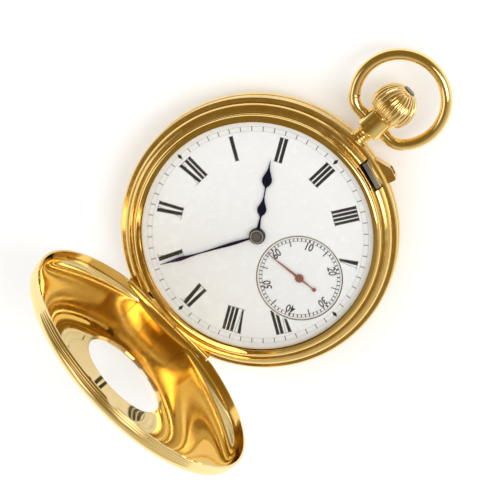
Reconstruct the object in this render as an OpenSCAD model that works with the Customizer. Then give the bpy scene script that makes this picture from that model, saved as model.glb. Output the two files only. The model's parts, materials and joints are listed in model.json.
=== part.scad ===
// Half hunter pocket watch, lid standing open. Millimetres.
// Z runs up through the dial, X to the crown at III, Y to XII. The back rests on Z = 0.

/* [Case] */
// Outer diameter of the case
case_d = 52; // [51:0.5:54]
// Diameter of the flat that the watch rests on
rest_d = 24; // [18:1:30]
// Height of the back cover's seam
back_h = 4.6; // [4.5:0.1:5.6]
// Height of the band between the back seam and the lid's seat
band_h = 3.6; // [3.5:0.1:4.2]
// Height of the closed lid above its seat
lid_h = 5.4; // [5.2:0.1:6.4]
// Angle at which the open lid stands
lid_open = 92; // [60:1:100]
// Wall of the lid and the back cover
shell_t = 0.55; // [0.45:0.05:0.7]
// Width of the covers' rims
rim_w = 0.85; // [0.7:0.05:1.0]
// Height of the beads round the rims
bead_h = 0.9; // [0.6:0.1:1.0]
// Height of the neck that the lid closes round
neck_h = 1.4; // [1.2:0.1:1.6]
// Width of the neck's rounded shoulder
shoulder_w = 1.65; // [1.3:0.05:1.8]
// Diameter of the lid's window
window_d = 17.2; // [14:0.2:20]
// Width of the lip round the lid's window
window_lip = 0.5; // [0.4:0.05:0.8]
// Wall of the inner cover over the movement
cuvette_t = 0.45; // [0.35:0.05:0.6]

/* [Hinges] */
// Distance of the cover hinges' axis inside the case's edge
hinge_in = 1.9; // [1.7:0.1:2.1]
// Length of the cover hinges
hinge_len = 21; // [18:0.5:21.5]
// Outer diameter of the cover hinges' knuckles
hinge_d = 1.9; // [1.7:0.05:2.0]
// Diameter of the cover hinges' pins
hinge_pin_d = 0.8; // [0.6:0.05:1.0]
// Length of the inner cover's hinge
cuvette_hinge_len = 12; // [8:0.5:13]
// Outer diameter of the inner cover's hinge
cuvette_hinge_d = 1.0; // [0.9:0.05:1.1]
// Diameter of the inner cover's hinge pin
cuvette_pin_d = 0.45; // [0.4:0.05:0.5]

/* [Bezel and glass] */
// Diameter of the dial opening
opening_d = 43.4; // [43:0.1:43.6]
// Width of the glass bezel
bezel_w = 1.6; // [1.5:0.05:1.7]
// Height of the glass bezel above the neck
bezel_h = 1.2; // [1.1:0.05:1.3]
// Thickness of the glass
glass_t = 0.4; // [0.3:0.05:0.5]
// Rise of the glass at its middle
glass_rise = 0.8; // [0.6:0.1:1.0]
// Thickness of the small glass in the lid
lid_glass_t = 0.5; // [0.4:0.05:0.6]

/* [Pendant, crown and bow] */
// Diameter of the pendant's collar
collar_d = 5.3; // [5:0.1:5.6]
// Length of the pendant's collar
collar_len = 3.9; // [3.6:0.1:4.4]
// Length of the pendant's neck
neck_len = 2.4; // [2.2:0.1:3]
// Diameter of the pendant's neck
neck_d = 3.5; // [3.2:0.1:3.8]
// Diameter of the crown
crown_d = 8.5; // [8:0.1:9]
// Number of ribs on the crown
crown_ribs = 28; // [20:2:32]
// Depth of the crown's flutes
flute_depth = 0.3; // [0.2:0.05:0.4]
// Diameter of the plug in the crown's tip
crown_plug_d = 2.4; // [2:0.1:2.8]
// Travel of the crown when it lets the lid go
crown_travel = 0.5; // [0.4:0.05:0.6]
// Outer diameter of the bow
bow_d = 19.2; // [19:0.1:20]
// Thickness of the bow's wire
bow_wire = 2.2; // [2:0.1:2.4]
// Diameter of the bow's pivots
bow_pin_d = 1.3; // [1.1:0.05:1.5]
// Diameter of the winding stem
stem_d = 1.2; // [1:0.05:1.3]

/* [Lid catch and hand setting] */
// Angle of the catch round the case, from the crown
catch_ang = -15; // [-16:0.5:-14]
// Length of the catch
catch_len = 5.2; // [4.8:0.1:5.6]
// Thickness of the catch and its spring
catch_t = 0.9; // [0.8:0.05:1.0]
// Room for the catch to move back
catch_gap = 0.65; // [0.6:0.05:0.7]
// Angle of the push piece round the case, from the crown
push_ang = -18; // [-19:0.5:-17]
// Diameter of the push piece
push_d = 1.1; // [0.9:0.05:1.2]
// Travel of the push piece
push_travel = 0.5; // [0.4:0.05:0.6]

/* [Dial and hands] */
// Rise of the dial's seat above the lid's seat
dial_rise = 0.6; // [0.5:0.05:0.7]
// Thickness of the dial
dial_t = 0.5; // [0.4:0.05:0.6]
// Distance of the seconds dial below the centre
sub_y = 11.14; // [11:0.02:11.3]
// Diameter of the seconds dial
sub_d = 16.3; // [15.6:0.1:16.6]
// Depth that the seconds dial is sunk
sub_sink = 0.15; // [0.1:0.05:0.2]
// Length of the minute hand
minute_len = 19.3; // [17:0.1:19.6]
// Length of the hour hand
hour_len = 14.8; // [12:0.1:15.5]
// Length of the seconds hand
seconds_len = 7.6; // [6.5:0.1:7.7]
// Thickness of the hands
hand_t = 0.14; // [0.1:0.01:0.16]
// Time shown, in minutes after twelve
time_shown = 109.4; // [0:0.1:719.9]
// Second shown
second_shown = 58.7; // [0:0.1:59.9]

/* [Movement] */
// Diameter of the main plate
plate_d = 41.4; // [41:0.1:41.6]
// Thickness of the main plate
plate_t = 0.8; // [0.7:0.05:0.9]
// Room under the dial for the motion work
dial_room = 1.2; // [1.15:0.05:1.3]
// Room between the plates
train_h = 2.5; // [2.45:0.05:2.6]
// Thickness of the three-quarter plate
top_t = 0.8; // [0.7:0.05:0.9]
// Height of the balance cock over the three-quarter plate
cock_rise = 0.5; // [0.4:0.05:0.6]
// Module of the going train
train_m = 0.2; // [0.195:0.001:0.203]
// Module of the fourth wheel
fourth_m = 0.16; // [0.155:0.001:0.163]
// Module of the wheels under the dial
dial_m = 0.22; // [0.21:0.002:0.224]
// Thickness of the wheels
wheel_t = 0.25; // [0.2:0.01:0.28]
// Diameter of the balance
balance_d = 14; // [13:0.1:14.2]
// Thickness of the balance
balance_t = 0.5; // [0.4:0.05:0.55]
// Diameter of the wheel pivots
pivot_d = 0.3; // [0.26:0.01:0.36]
// Diameter of the jewels
jewel_d = 1.3; // [1.1:0.05:1.5]
// Diameter of the plate screws' heads
screw_d = 2.2; // [2:0.1:2.4]

/* [Fits] */
// Radial clearance of a pin or pivot in its hole
run_gap = 0.05; // [0.03:0.01:0.08]
// Clearance between pieces that pass each other
part_gap = 0.06; // [0.05:0.01:0.08]
// Clearance of a piece that drops into a seat
seat_gap = 0.1; // [0.08:0.01:0.14]

/* [Hidden] */
$fn = 96;
case_r = case_d / 2;
rest_r = rest_d / 2;

// Levels, from the back up
z_seat = back_h + band_h;
z_dial = z_seat + dial_rise;
z_face = z_dial + dial_t;
z_plate_front = z_dial - dial_room;
z_plate_back = z_plate_front - plate_t;
z_top_front = z_plate_back - train_h;
z_top_back = z_top_front - top_t;
z_cock_back = z_top_back - cock_rise;
cuvette_room = 0.4;
z_cuvette_in = z_cock_back - cuvette_room;
z_cuvette = z_cuvette_in - cuvette_t;
z_stem = z_seat - 1.65;

// Case radii
lid_seat_r = case_r - rim_w;
neck_r = lid_seat_r - seat_gap;
opening_r = opening_d / 2;
bezel_r = opening_r + bezel_w;
neck_top_r = neck_r - shoulder_w;
z_bezel = z_seat + neck_h;
bead_r = 0.3;
cuvette_r = case_r - 1.8;
band_in_r = case_r - 3.6;
spring_r = case_r - 1.1;
dial_r = opening_r + 0.1;
flange_r = dial_r - 0.15;
plate_r = plate_d / 2;
lip_in_r = plate_r + seat_gap + 0.05;
glass_r = opening_r + 0.35;
z_glass = z_bezel + bezel_h - 0.65;

// Hinges
hinge_x = case_r - hinge_in;
hinge_r = hinge_d / 2;
z_lid_hinge = z_seat + 0.4;
z_back_hinge = back_h;
hinge_skirt = 0.8;
hinge_wall = 0.6;
hinge_trim = 0.15;
cuvette_hinge_x = band_in_r;
cuvette_hinge_r = cuvette_hinge_d / 2;
z_cuvette_hinge = back_h - 0.2;
knuckles = [-0.5, -0.28, -0.09, 0.09, 0.28, 0.5];

// Pendant, crown and bow
collar_x = case_r + neck_len;
collar_end = collar_x + collar_len;
crown_r = crown_d / 2;
crown_x = collar_end + 2.8;
crown_base_x = collar_end + part_gap;
sleeve_r = 1.1;
crown_neck_r = 2.05;
crown_neck = 0.6;
bow_pivot_x = collar_x + 1.65;
bow_wire_r = bow_wire / 2;
bow_mid_r = bow_d / 2 - bow_wire_r;
bow_x = bow_pivot_x + 6.75;
bow_shoulder_y = 4.6;
bow_pin_r = bow_pin_d / 2;
bow_flat = 0.4;

// Catch, springs and push piece
spring_mid_r = case_r - 1.9;
catch_out_r = neck_r - 0.1;
catch_root_ang = -62;
fly_root_ang = 216;
fly_mid_r = case_r - 4.4;
fly_y = 5.5;
z_spring = back_h + 0.7;
z_spring_top = z_plate_front + 0.1;
z_push = z_plate_back - 0.75;
push_r = push_d / 2;
guard_out = 1.8;
guard_seat = 0.5;
z_catch_low = z_push + push_r + 0.25;

// Wheels: teeth and pitch radii
barrel_teeth = 80;
centre_leaves = 10;
centre_teeth = 64;
third_leaves = 8;
third_teeth = 60;
fourth_leaves = 8;
fourth_teeth = 70;
escape_leaves = 7;
escape_teeth = 15;
cannon_teeth = 10;
minute_teeth = 30;
minute_leaves = 8;
hour_teeth = 32;
crown_teeth = 32;
idler_teeth = 16;
ratchet_teeth = 42;
pinion_teeth = 12;
function pitch_r(n, m) = n * m / 2;
function reach(a, b, m) = (a + b) * m / 2;
function polar(r, a) = [r * cos(a), r * sin(a)];
function angle_to(p, q) = atan2(q[1] - p[1], q[0] - p[0]);
// Point at distance a from p and b from q, on the left of the line from p to q when side is 1
function apart(p, q, a, b, side) =
    let (d = norm(q - p), u = (q - p) / d, along = (a * a - b * b + d * d) / (2 * d),
         off = sqrt(a * a - along * along))
    p + along * u + side * off * [-u[1], u[0]];

centre = [0, 0];
fourth = [0, -sub_y];
third = apart(centre, fourth, reach(centre_teeth, third_leaves, train_m),
    reach(third_teeth, fourth_leaves, train_m * 0.9), 1);
barrel_at = polar(reach(barrel_teeth, centre_leaves, train_m), 62);
escape_at = fourth + polar(reach(fourth_teeth, escape_leaves, fourth_m), 190);
lever_line = 122;
escape_r = 3.2;
lever_at = escape_at + polar(escape_r / cos(30), lever_line);
fork_len = 5;
balance_at = lever_at + polar(fork_len, lever_line);
cock_foot = polar(15.9, 164);
crown_wheel_at = [9.4, 0];
idler_reach = reach(crown_teeth, idler_teeth, dial_m);
winding_at = apart(crown_wheel_at, barrel_at, idler_reach, reach(idler_teeth, ratchet_teeth, dial_m), -1);
setting_apart = 0.5;
minute_at = polar(reach(cannon_teeth, minute_teeth, dial_m), -52);
setting_at = apart(crown_wheel_at, minute_at, idler_reach,
    reach(idler_teeth, minute_teeth, dial_m) + setting_apart, 1);
click_at = barrel_at + polar(7.4, 150);

// Wheel levels
z_centre_wheel = z_plate_back - 0.45;
z_third_wheel = z_plate_back - 1.6;
z_fourth_wheel = z_plate_back - 1.05;
z_escape_wheel = z_plate_back - 0.5;
z_balance = z_top_front - 0.1;
z_bridge = z_top_front + 0.6;
bridge_t = 0.35;
barrel_h = 1.5;
z_barrel = z_top_front + 0.25;
barrel_r = pitch_r(barrel_teeth, train_m) - 0.45;
barrel_wall = 0.35;
z_under = z_plate_front + 0.3;
z_hour_wheel = z_plate_front + 0.68;
z_bar = z_plate_front + 0.64;
bar_t = 0.25;
tooth_out = 0.7;
tooth_in = 1.0;
arbor_r = 0.35;
pivot_r = pivot_d / 2;
jewel_r = jewel_d / 2;
cannon_r = 0.95;
cannon_in = 0.6;
pipe_out = 1.3;
hub_r = 1.47;
z_hour_hand = z_face + 0.35;
z_minute_hand = z_hour_hand + hand_t + 0.16;
sub_r = sub_d / 2;
z_sub = z_face - sub_sink;

// Directions of the hands, in degrees anticlockwise from X
minute_dir = 90 - 6 * (time_shown % 60);
hour_dir = 90 - time_shown / 2;
second_dir = 90 - 6 * second_shown;

gold = "goldenrod";
brass = "khaki";
steel = "slategray";
blued = "midnightblue";

// Shared shapes

function arc(cx, cy, r, from, to, steps) =
    [for (i = [0 : steps]) [cx + r * cos(from + (to - from) * i / steps),
                            cy + r * sin(from + (to - from) * i / steps)]];

// Quarter of an ellipse from the bottom (r0, z0) out to (r1, z1), moved inward by t
function bowl(r0, z0, r1, z1, t, steps) =
    [for (i = [0 : steps])
        let (a = 90 * i / steps, w = r1 - r0, h = z1 - z0,
             n = [-h * sin(a), w * cos(a)] / norm([h * sin(a), w * cos(a)]))
        [r0 + w * sin(a), z0 + h * (1 - cos(a))] + t * n];

// Outline of a toothed wheel with its first tooth on X
function teeth_points(n, m, width, out = tooth_out) =
    let (r = pitch_r(n, m), a = width * 180 / n)
    [for (i = [0 : n - 1], p = [[-1.25, r - tooth_in * m], [-1, r], [-0.4, r + out * m],
                                [0.4, r + out * m], [1, r], [1.25, r - tooth_in * m]])
        polar(p[1], i * 360 / n + p[0] * a)];

// Turn of wheel b, with nb teeth, that puts it in mesh with wheel a
function mesh_turn(pa, pb, turn_a, na, nb) =
    let (line = angle_to(pa, pb))
    line + 180 - (0.5 - (line - turn_a) * na / 360) * 360 / nb;

module at(p, z = 0) {
    translate([p[0], p[1], z]) children();
}

module tube(outer, inner, h) {
    difference() {
        cylinder(r = outer, h = h);
        translate([0, 0, -1]) cylinder(r = inner, h = h + 2);
    }
}

// Flat bar with round ends of radius ra and rb
module link(pa, ra, pb, rb) {
    side = angle_to(pa, pb) + 90;
    translate(pa) circle(r = ra);
    translate(pb) circle(r = rb);
    polygon([pa + polar(ra, side), pa - polar(ra, side), pb - polar(rb, side), pb + polar(rb, side)]);
}

// Arms-and-rim wheel of flat facets, so that thin teeth stay exact
module spoked(n, m, t, arms, hole) {
    r = pitch_r(n, m) - tooth_in * m - 0.45;
    hub = 0.95;
    gap_a = 8;
    linear_extrude(t) difference() {
        polygon(teeth_points(n, m, 0.42));
        for (i = [0 : arms - 1]) rotate(i * 360 / arms)
            polygon(concat(arc(0, 0, r, gap_a, 360 / arms - gap_a, 10),
                arc(0, 0, hub, 360 / arms - gap_a - 22, gap_a + 22, 4)));
        circle(r = hole);
    }
}

module pinion(n, m, h, hole) {
    linear_extrude(h) difference() {
        polygon(teeth_points(n, m, 0.34));
        if (hole > 0) circle(r = hole);
    }
}

// Blank wheel with teeth and a round hole
module plain_wheel(n, m, t, hole) {
    linear_extrude(t) difference() {
        polygon(teeth_points(n, m, 0.3));
        circle(r = hole);
    }
}

module along_x(x, y, z) {
    translate([x, y, z]) rotate([0, 90, 0]) children();
}

module along_y(x, y, z) {
    translate([x, y, z]) rotate([-90, 0, 0]) children();
}

// Cheese-head screw standing on its head's underside, shank up
module screw(head_d, head_h, shank_d, shank_h) {
    difference() {
        translate([0, 0, -head_h]) cylinder(d = head_d, h = head_h);
        translate([-head_d, -head_d * 0.07, -head_h - 1])
            cube([2 * head_d, head_d * 0.14, 1 + head_h * 0.4]);
    }
    translate([0, 0, -0.01]) cylinder(d = shank_d, h = shank_h + 0.01);
}

// Hinge knuckles: parts picks which of the five lengths are drawn
module knuckle_row(x, z, r, len, parts, gap) {
    for (i = parts)
        along_y(x, len * knuckles[i] + gap, z)
            cylinder(r = r, h = len * (knuckles[i + 1] - knuckles[i]) - 2 * gap);
}

// Room for the knuckles that belong to the other piece
module knuckle_room(x, z, r, len, parts) {
    for (i = parts)
        along_y(x, len * knuckles[i], z)
            cylinder(r = r + part_gap, h = len * (knuckles[i + 1] - knuckles[i]));
}

module hinge_pin(x, z, d, len) {
    along_y(x, -len / 2 + 0.1, z) cylinder(d = d, h = len - 0.2);
}

// Case

band_parts = [0, 2, 4];
cover_parts = [1, 3];

module band_profile() {
    z_lip = z_plate_back;
    z_flange = z_plate_front + 0.4;
    z_recess = z_dial + 0.15;
    polygon(concat(
        [[band_in_r, back_h], [case_r - 0.15, back_h]],
        arc(case_r - bead_r, back_h + bead_r + 0.1, bead_r, -50, 60, 5),
        arc(case_r - bead_r, z_seat - bead_r - 0.1, bead_r, -60, 60, 5),
        [[case_r - bead_r, z_seat], [neck_r, z_seat]],
        bowl_shoulder(),
        [[bezel_r + 0.12, z_bezel + 0.12], [bezel_r + 0.05, z_bezel], [glass_r + 0.8, z_bezel],
         [glass_r + 0.8, z_recess], [dial_r + 0.15, z_recess], [dial_r + 0.15, z_flange],
         [lip_in_r, z_flange], [lip_in_r, z_lip], [band_in_r, z_lip]]));
}

// Rounded shoulder of the neck, from its foot up to its inner top edge
function bowl_shoulder() =
    [for (i = [0 : 8])
        let (a = 90 * i / 8)
        [neck_r - (neck_r - bezel_r - 0.2) * (1 - cos(a)),
         z_seat + 0.25 + (neck_h - 0.1) * sin(a)]];

// Groove inside the band on the side of the catch spring
module spring_groove() {
    h = z_plate_front + 0.2 - back_h - 0.55;
    translate([0, 0, back_h + 0.55]) linear_extrude(h)
        polygon(concat(arc(0, 0, spring_r, catch_root_ang - 8, 7, 30), arc(0, 0, band_in_r - 1, 7, catch_root_ang - 8, 30)));
}

module case_middle() {
    color(gold) difference() {
        union() {
            difference() {
                rotate_extrude($fn = 180) band_profile();
                // Flat at the hinges, and a way for the lid's knuckles
                translate([-hinge_x - 10, -hinge_len / 2 - 0.1, 0]) cube([10, hinge_len + 0.2, 20]);
                knuckle_room(-hinge_x, z_lid_hinge, hinge_r, hinge_len, cover_parts);
                knuckle_room(-hinge_x, z_back_hinge, hinge_r, hinge_len, cover_parts);
                knuckle_room(-cuvette_hinge_x, z_cuvette_hinge, cuvette_hinge_r, cuvette_hinge_len,
                    cover_parts);
                // Shoulder makes room for the open lid's edge
                translate([-hinge_x - 1, -hinge_len / 2 - 0.1, z_seat])
                    cube([1 + hinge_in - 1.5, hinge_len + 0.2, 5]);
                spring_groove();
            }
            knuckle_row(-hinge_x, z_lid_hinge, hinge_r, hinge_len, band_parts, part_gap);
            knuckle_row(-hinge_x, z_back_hinge, hinge_r, hinge_len, band_parts, part_gap);
            knuckle_row(-cuvette_hinge_x, z_cuvette_hinge, cuvette_hinge_r, cuvette_hinge_len,
                band_parts, part_gap);
        }
        hinge_bore(-hinge_x, z_lid_hinge, hinge_pin_d, hinge_len);
        hinge_bore(-hinge_x, z_back_hinge, hinge_pin_d, hinge_len);
        hinge_bore(-cuvette_hinge_x, z_cuvette_hinge, cuvette_pin_d, cuvette_hinge_len);
        // Way for the pendant sleeve and the stem, and the seats of the pendant and the guard
        along_x(plate_r - 1, 0, z_stem) cylinder(r = sleeve_r + run_gap, h = case_r - plate_r + 1.7);
        pendant_seat(0.01);
        difference() {
            push_guard_block(0.01);
            cylinder(r = case_r - guard_seat - 0.01, h = 20);
        }
        // Slot of the lid catch
        rotate(catch_ang) translate([catch_out_r - catch_t - catch_gap, -catch_len / 2 - 0.35, z_catch_low])
            cube([catch_t + catch_gap + 0.07, catch_len + 0.7, 9]);
        rotate(push_ang) along_x(band_in_r - 1, 0, z_push) cylinder(r = push_r + run_gap, h = 6);
        // Way for the fly spring's tongue beside the hinge, and the pocket of its foot
        translate([-hinge_x + hinge_r + 0.08, fly_y - 0.8, z_spring - 0.15]) cube([2, 1.6, 9]);
        at(polar(spring_mid_r - 0.9, fly_root_ang), z_spring - 0.15) cylinder(r = 1.9, h = z_plate_back - z_spring);
        for (p = spring_screw_at) at(p, 0) {
            cylinder(r = 0.7, h = z_spring, $fn = 32);
            cylinder(r = 0.35, h = z_spring + 2.4, $fn = 32);
        }
    }
}

// Root of the pendant, let into the band
module pendant_seat(grow) {
    intersection() {
        along_x(case_r - 0.85 - grow, 0, z_stem) cylinder(r = neck_d / 2 + 0.3 + grow, h = 1.15 + grow);
        translate([0, -5, back_h + 0.25 - grow]) cube([40, 10, band_h - 0.5 + 2 * grow]);
    }
}

module hinge_bore(x, z, d, len) {
    along_y(x, -len / 2 - 0.3, z) cylinder(r = d / 2 + run_gap, h = len + 0.6);
}

lid_r = case_r - 0.3;

// Closed lid's outer line, from its rim to its window, height measured up from its seat
function lid_outer() =
    let (edge = window_d / 2 + window_lip)
    concat(
        [[lid_r - 0.2, z_seat + part_gap / 2]],
        arc(lid_r - bead_r, z_seat + bead_r + part_gap, bead_r, -60, 50, 5),
        arc(lid_r - bead_r, z_seat + 0.75 + part_gap, bead_r * 0.9, -50, 50, 5),
        arc(lid_r - bead_r, z_seat + 1.2 + part_gap, bead_r * 0.7, -50, 40, 5),
        [for (i = [0 : 20])
            let (a = 90 * i / 20)
            [edge + (lid_r - 0.1 - edge) * pow(cos(a), 0.9), z_seat + 1.5 + (lid_h - 1.5) * pow(sin(a), 0.85)]]);

module lid_profile() {
    r_window = window_d / 2;
    edge = r_window + window_lip;
    top = z_seat + lid_h;
    inner = [for (i = [0 : 20])
        let (a = 90 - 90 * i / 20)
        [edge + (lid_seat_r + 0.1 - edge) * pow(cos(a), 0.9),
         z_seat + 1.5 + (lid_h - shell_t - 1.5) * pow(sin(a), 0.85)]];
    polygon(concat(
        [[lid_seat_r, z_seat + part_gap / 2]],
        lid_outer(),
        [[r_window, top], [r_window, top - shell_t * 0.45], [edge, top - shell_t * 0.45]],
        inner,
        [[lid_seat_r, z_seat + bead_h]]));
}

// Flat wall that closes the lid's cut side over its hinge
module lid_hinge_wall() {
    intersection() {
        rotate_extrude($fn = 180) polygon(concat([[0, z_seat + part_gap / 2]], lid_outer(), [[0, z_seat + lid_h]]));
        translate([-hinge_x - hinge_skirt, -15, z_lid_hinge + hinge_trim]) cube([hinge_wall, 30, 20]);
    }
}

module lid_swing() {
    translate([-hinge_x, 0, z_lid_hinge]) rotate([0, -lid_open, 0])
        translate([hinge_x, 0, -z_lid_hinge]) children();
}

module front_lid() {
    color(gold) lid_swing() difference() {
        union() {
            difference() {
                union() {
                    difference() {
                        rotate_extrude($fn = 180) lid_profile();
                        translate([-hinge_x - hinge_skirt - 10, -15, 0]) cube([10, 30, 30]);
                        // Rim is cut away beside the knuckles
                        translate([-30, -hinge_len / 2 - 0.1, 0])
                            cube([30 - hinge_x + 2.5, hinge_len + 0.2, z_lid_hinge + hinge_trim]);
                    }
                    lid_hinge_wall();
                }
                knuckle_room(-hinge_x, z_lid_hinge, hinge_r, hinge_len, [0, 1, 2, 3, 4]);
                // Notch over the pendant's root
                along_x(case_r - 2, 0, z_stem) cylinder(r = neck_d / 2 + 0.45, h = 6);
            }
            knuckle_row(-hinge_x, z_lid_hinge, hinge_r, hinge_len, cover_parts, part_gap);
            for (i = cover_parts)
                translate([-hinge_x - hinge_skirt, hinge_len * knuckles[i] + 2 * part_gap, z_lid_hinge + hinge_trim])
                    cube([hinge_wall, hinge_len * (knuckles[i + 1] - knuckles[i]) - 4 * part_gap, 1.2]);
        }
        hinge_bore(-hinge_x, z_lid_hinge, hinge_pin_d, hinge_len);
    }
}

module lid_glass() {
    top = z_seat + lid_h - shell_t * 0.45 - 0.01;
    color("white") lid_swing()
        translate([0, 0, top - lid_glass_t]) cylinder(r = window_d / 2 + window_lip - 0.03, h = lid_glass_t);
}

module lid_hinge_pin() {
    color(gold) hinge_pin(-hinge_x, z_lid_hinge, hinge_pin_d, hinge_len);
}

z_rim = back_h - bead_h;
rim_in = cuvette_r + 0.3;

// Back cover's outer line from the middle of the flat out to the seam
function back_outer() = concat(
    [[0, 0]],
    bowl(rest_r, 0, case_r - 0.15, z_rim, 0, 16),
    arc(case_r - bead_h / 2, z_rim + bead_h / 2, bead_h / 2, -50, 50, 6),
    [[case_r - 0.25, back_h - part_gap / 2]]);

module back_profile() {
    inner = bowl(rest_r, 0, case_r - 0.15, z_rim, shell_t, 16);
    polygon(concat(
        back_outer(),
        [[rim_in, back_h - part_gap / 2]],
        reversed([for (p = inner) if (p[0] < rim_in) p]),
        [[0, shell_t]]));
}

// Flat wall that closes the back cover's cut side below its hinge
module back_hinge_wall() {
    intersection() {
        rotate_extrude($fn = 180) polygon(concat(back_outer(), [[0, back_h - part_gap / 2]]));
        translate([-hinge_x - hinge_skirt, -15, 0]) cube([hinge_wall, 30, z_back_hinge - hinge_trim]);
    }
}

function reversed(list) = [for (i = [len(list) - 1 : -1 : 0]) list[i]];

module back_cover() {
    color(gold) difference() {
        union() {
            difference() {
                union() {
                    difference() {
                        rotate_extrude($fn = 180) back_profile();
                        translate([-hinge_x - hinge_skirt - 10, -15, 0]) cube([10, 30, 30]);
                        translate([-30, -hinge_len / 2 - 0.1, z_back_hinge - hinge_trim])
                            cube([30 - hinge_x + 2.5, hinge_len + 0.2, 10]);
                    }
                    back_hinge_wall();
                }
                knuckle_room(-hinge_x, z_back_hinge, hinge_r, hinge_len, [0, 1, 2, 3, 4]);
                along_x(case_r - 2, 0, z_stem) cylinder(r = neck_d / 2 + 0.45, h = 6);
            }
            knuckle_row(-hinge_x, z_back_hinge, hinge_r, hinge_len, cover_parts, part_gap);
            for (i = cover_parts)
                translate([-hinge_x - hinge_skirt, hinge_len * knuckles[i] + 2 * part_gap, z_back_hinge - hinge_trim - 1.2])
                    cube([hinge_wall, hinge_len * (knuckles[i + 1] - knuckles[i]) - 4 * part_gap, 1.2]);
        }
        hinge_bore(-hinge_x, z_back_hinge, hinge_pin_d, hinge_len);
    }
}

module back_hinge_pin() {
    color(gold) hinge_pin(-hinge_x, z_back_hinge, hinge_pin_d, hinge_len);
}

module cuvette() {
    flat_r = band_in_r - 4.6;
    wall_r = band_in_r - 0.5;
    color(gold) difference() {
        union() {
            difference() {
                rotate_extrude($fn = 120) polygon(concat(
                    [[0, z_cuvette]],
                    bowl(flat_r, z_cuvette, wall_r, back_h - cuvette_t - 0.1, 0, 8),
                    [[wall_r + 0.05, back_h - cuvette_t], [cuvette_r, back_h - cuvette_t],
                     [cuvette_r, back_h - part_gap / 2], [wall_r - cuvette_t, back_h - part_gap / 2]],
                    reversed(bowl(flat_r, z_cuvette, wall_r, back_h - cuvette_t - 0.1, cuvette_t, 8)),
                    [[0, z_cuvette_in]]));
                translate([-cuvette_hinge_x - 10, -15, 0]) cube([10, 30, 20]);
                knuckle_room(-cuvette_hinge_x, z_cuvette_hinge, cuvette_hinge_r, cuvette_hinge_len,
                    [0, 1, 2, 3, 4]);
            }
            knuckle_row(-cuvette_hinge_x, z_cuvette_hinge, cuvette_hinge_r, cuvette_hinge_len,
                cover_parts, part_gap);
            // Leaf from each knuckle to the wall
            for (i = cover_parts)
                translate([-cuvette_hinge_x + 0.2, cuvette_hinge_len * knuckles[i] + part_gap, z_cuvette_hinge - 0.4])
                    cube([1.0, cuvette_hinge_len * (knuckles[i + 1] - knuckles[i]) - 2 * part_gap, 0.4]);
        }
        hinge_bore(-cuvette_hinge_x, z_cuvette_hinge, cuvette_pin_d, cuvette_hinge_len);
    }
}

module cuvette_hinge_pin() {
    color(gold) hinge_pin(-cuvette_hinge_x, z_cuvette_hinge, cuvette_pin_d, cuvette_hinge_len);
}

module bezel() {
    z_top = z_bezel + bezel_h;
    color(gold) rotate_extrude($fn = 180) polygon(concat(
        [[opening_r, z_face + part_gap], [opening_r + 0.4, z_face + part_gap],
         [opening_r + 0.4, z_dial + 0.2], [glass_r + 0.75, z_dial + 0.2], [glass_r + 0.75, z_bezel],
         [bezel_r, z_bezel], [bezel_r, z_bezel + 0.3]],
        arc(opening_r + 0.65, z_bezel + 0.35, bezel_h - 0.35, 8, 82, 6),
        [[opening_r + 0.15, z_top], [opening_r + 0.15, z_glass + glass_t + 0.05],
         [glass_r + 0.05, z_glass + glass_t + 0.05], [glass_r + 0.05, z_glass - 0.05],
         [opening_r, z_glass - 0.05]]));
}

// Dome of the glass: height above its edge at radius r
function glass_dome(r) =
    let (edge = glass_r - 0.25, ball = (edge * edge + glass_rise * glass_rise) / (2 * glass_rise))
    sqrt(ball * ball - r * r) - ball + glass_rise;

module crystal() {
    steps = 12;
    edge = glass_r - 0.25;
    color("white") translate([0, 0, z_glass]) rotate_extrude($fn = 120) polygon(concat(
        [for (i = [0 : steps]) [edge * i / steps, glass_dome(edge * i / steps) * 0.97]],
        [[glass_r, 0], [glass_r, glass_t], [edge, glass_t]],
        [for (i = [steps : -1 : 0]) [edge * i / steps, glass_t + glass_dome(edge * i / steps)]]));
}

// Pendant, crown and bow

module pendant_profile() {
    neck_r2 = neck_d / 2;
    polygon(concat(
        [[0, 0], [neck_r2 - 0.1, 0]],
        arc(neck_r2 - 0.3, 0.65, 0.3, -75, 75, 6),
        arc(neck_r2 - 0.35, 1.3, 0.3, -75, 75, 6),
        [[neck_r2 - 0.25, 1.85], [neck_r2 - 0.05, neck_len - 0.1], [collar_d / 2 - 0.25, neck_len - 0.1],
         [collar_d / 2, neck_len + 0.15], [collar_d / 2, neck_len + collar_len - 0.22],
         [collar_d / 2 - 0.2, neck_len + collar_len - 0.02], [0, neck_len + collar_len - 0.02]]));
}

module pendant() {
    color(gold) difference() {
        union() {
            pendant_seat(0);
            along_x(case_r + 0.02, 0, z_stem) rotate_extrude() pendant_profile();
        }
        along_x(0, 0, z_stem) cylinder(r = sleeve_r + run_gap, h = 60);
        // Recess that takes the crown's neck
        along_x(collar_end - crown_neck - crown_travel - 0.1, 0, z_stem) cylinder(r = crown_neck_r + seat_gap, h = 9);
        // Flats and holes for the bow's ends
        for (s = [-1, 1]) translate([bow_pivot_x, s * (collar_d / 2 - bow_flat), z_stem]) rotate([-90 * s, 0, 0])
            cylinder(r = bow_wire_r + 0.15, h = 3);
        along_y(bow_pivot_x, -10, z_stem) cylinder(r = bow_pin_r + run_gap, h = 20);
    }
}

module pendant_sleeve() {
    // Slides inside the pendant and presses the catch spring
    from = spring_mid_r + catch_t / 2 + part_gap;
    color(steel) along_x(from, 0, z_stem) difference() {
        cylinder(r = sleeve_r, h = collar_end - crown_neck - 0.02 - from);
        translate([0, 0, -1]) cylinder(r = stem_d / 2 + run_gap, h = 20);
    }
}

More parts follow.
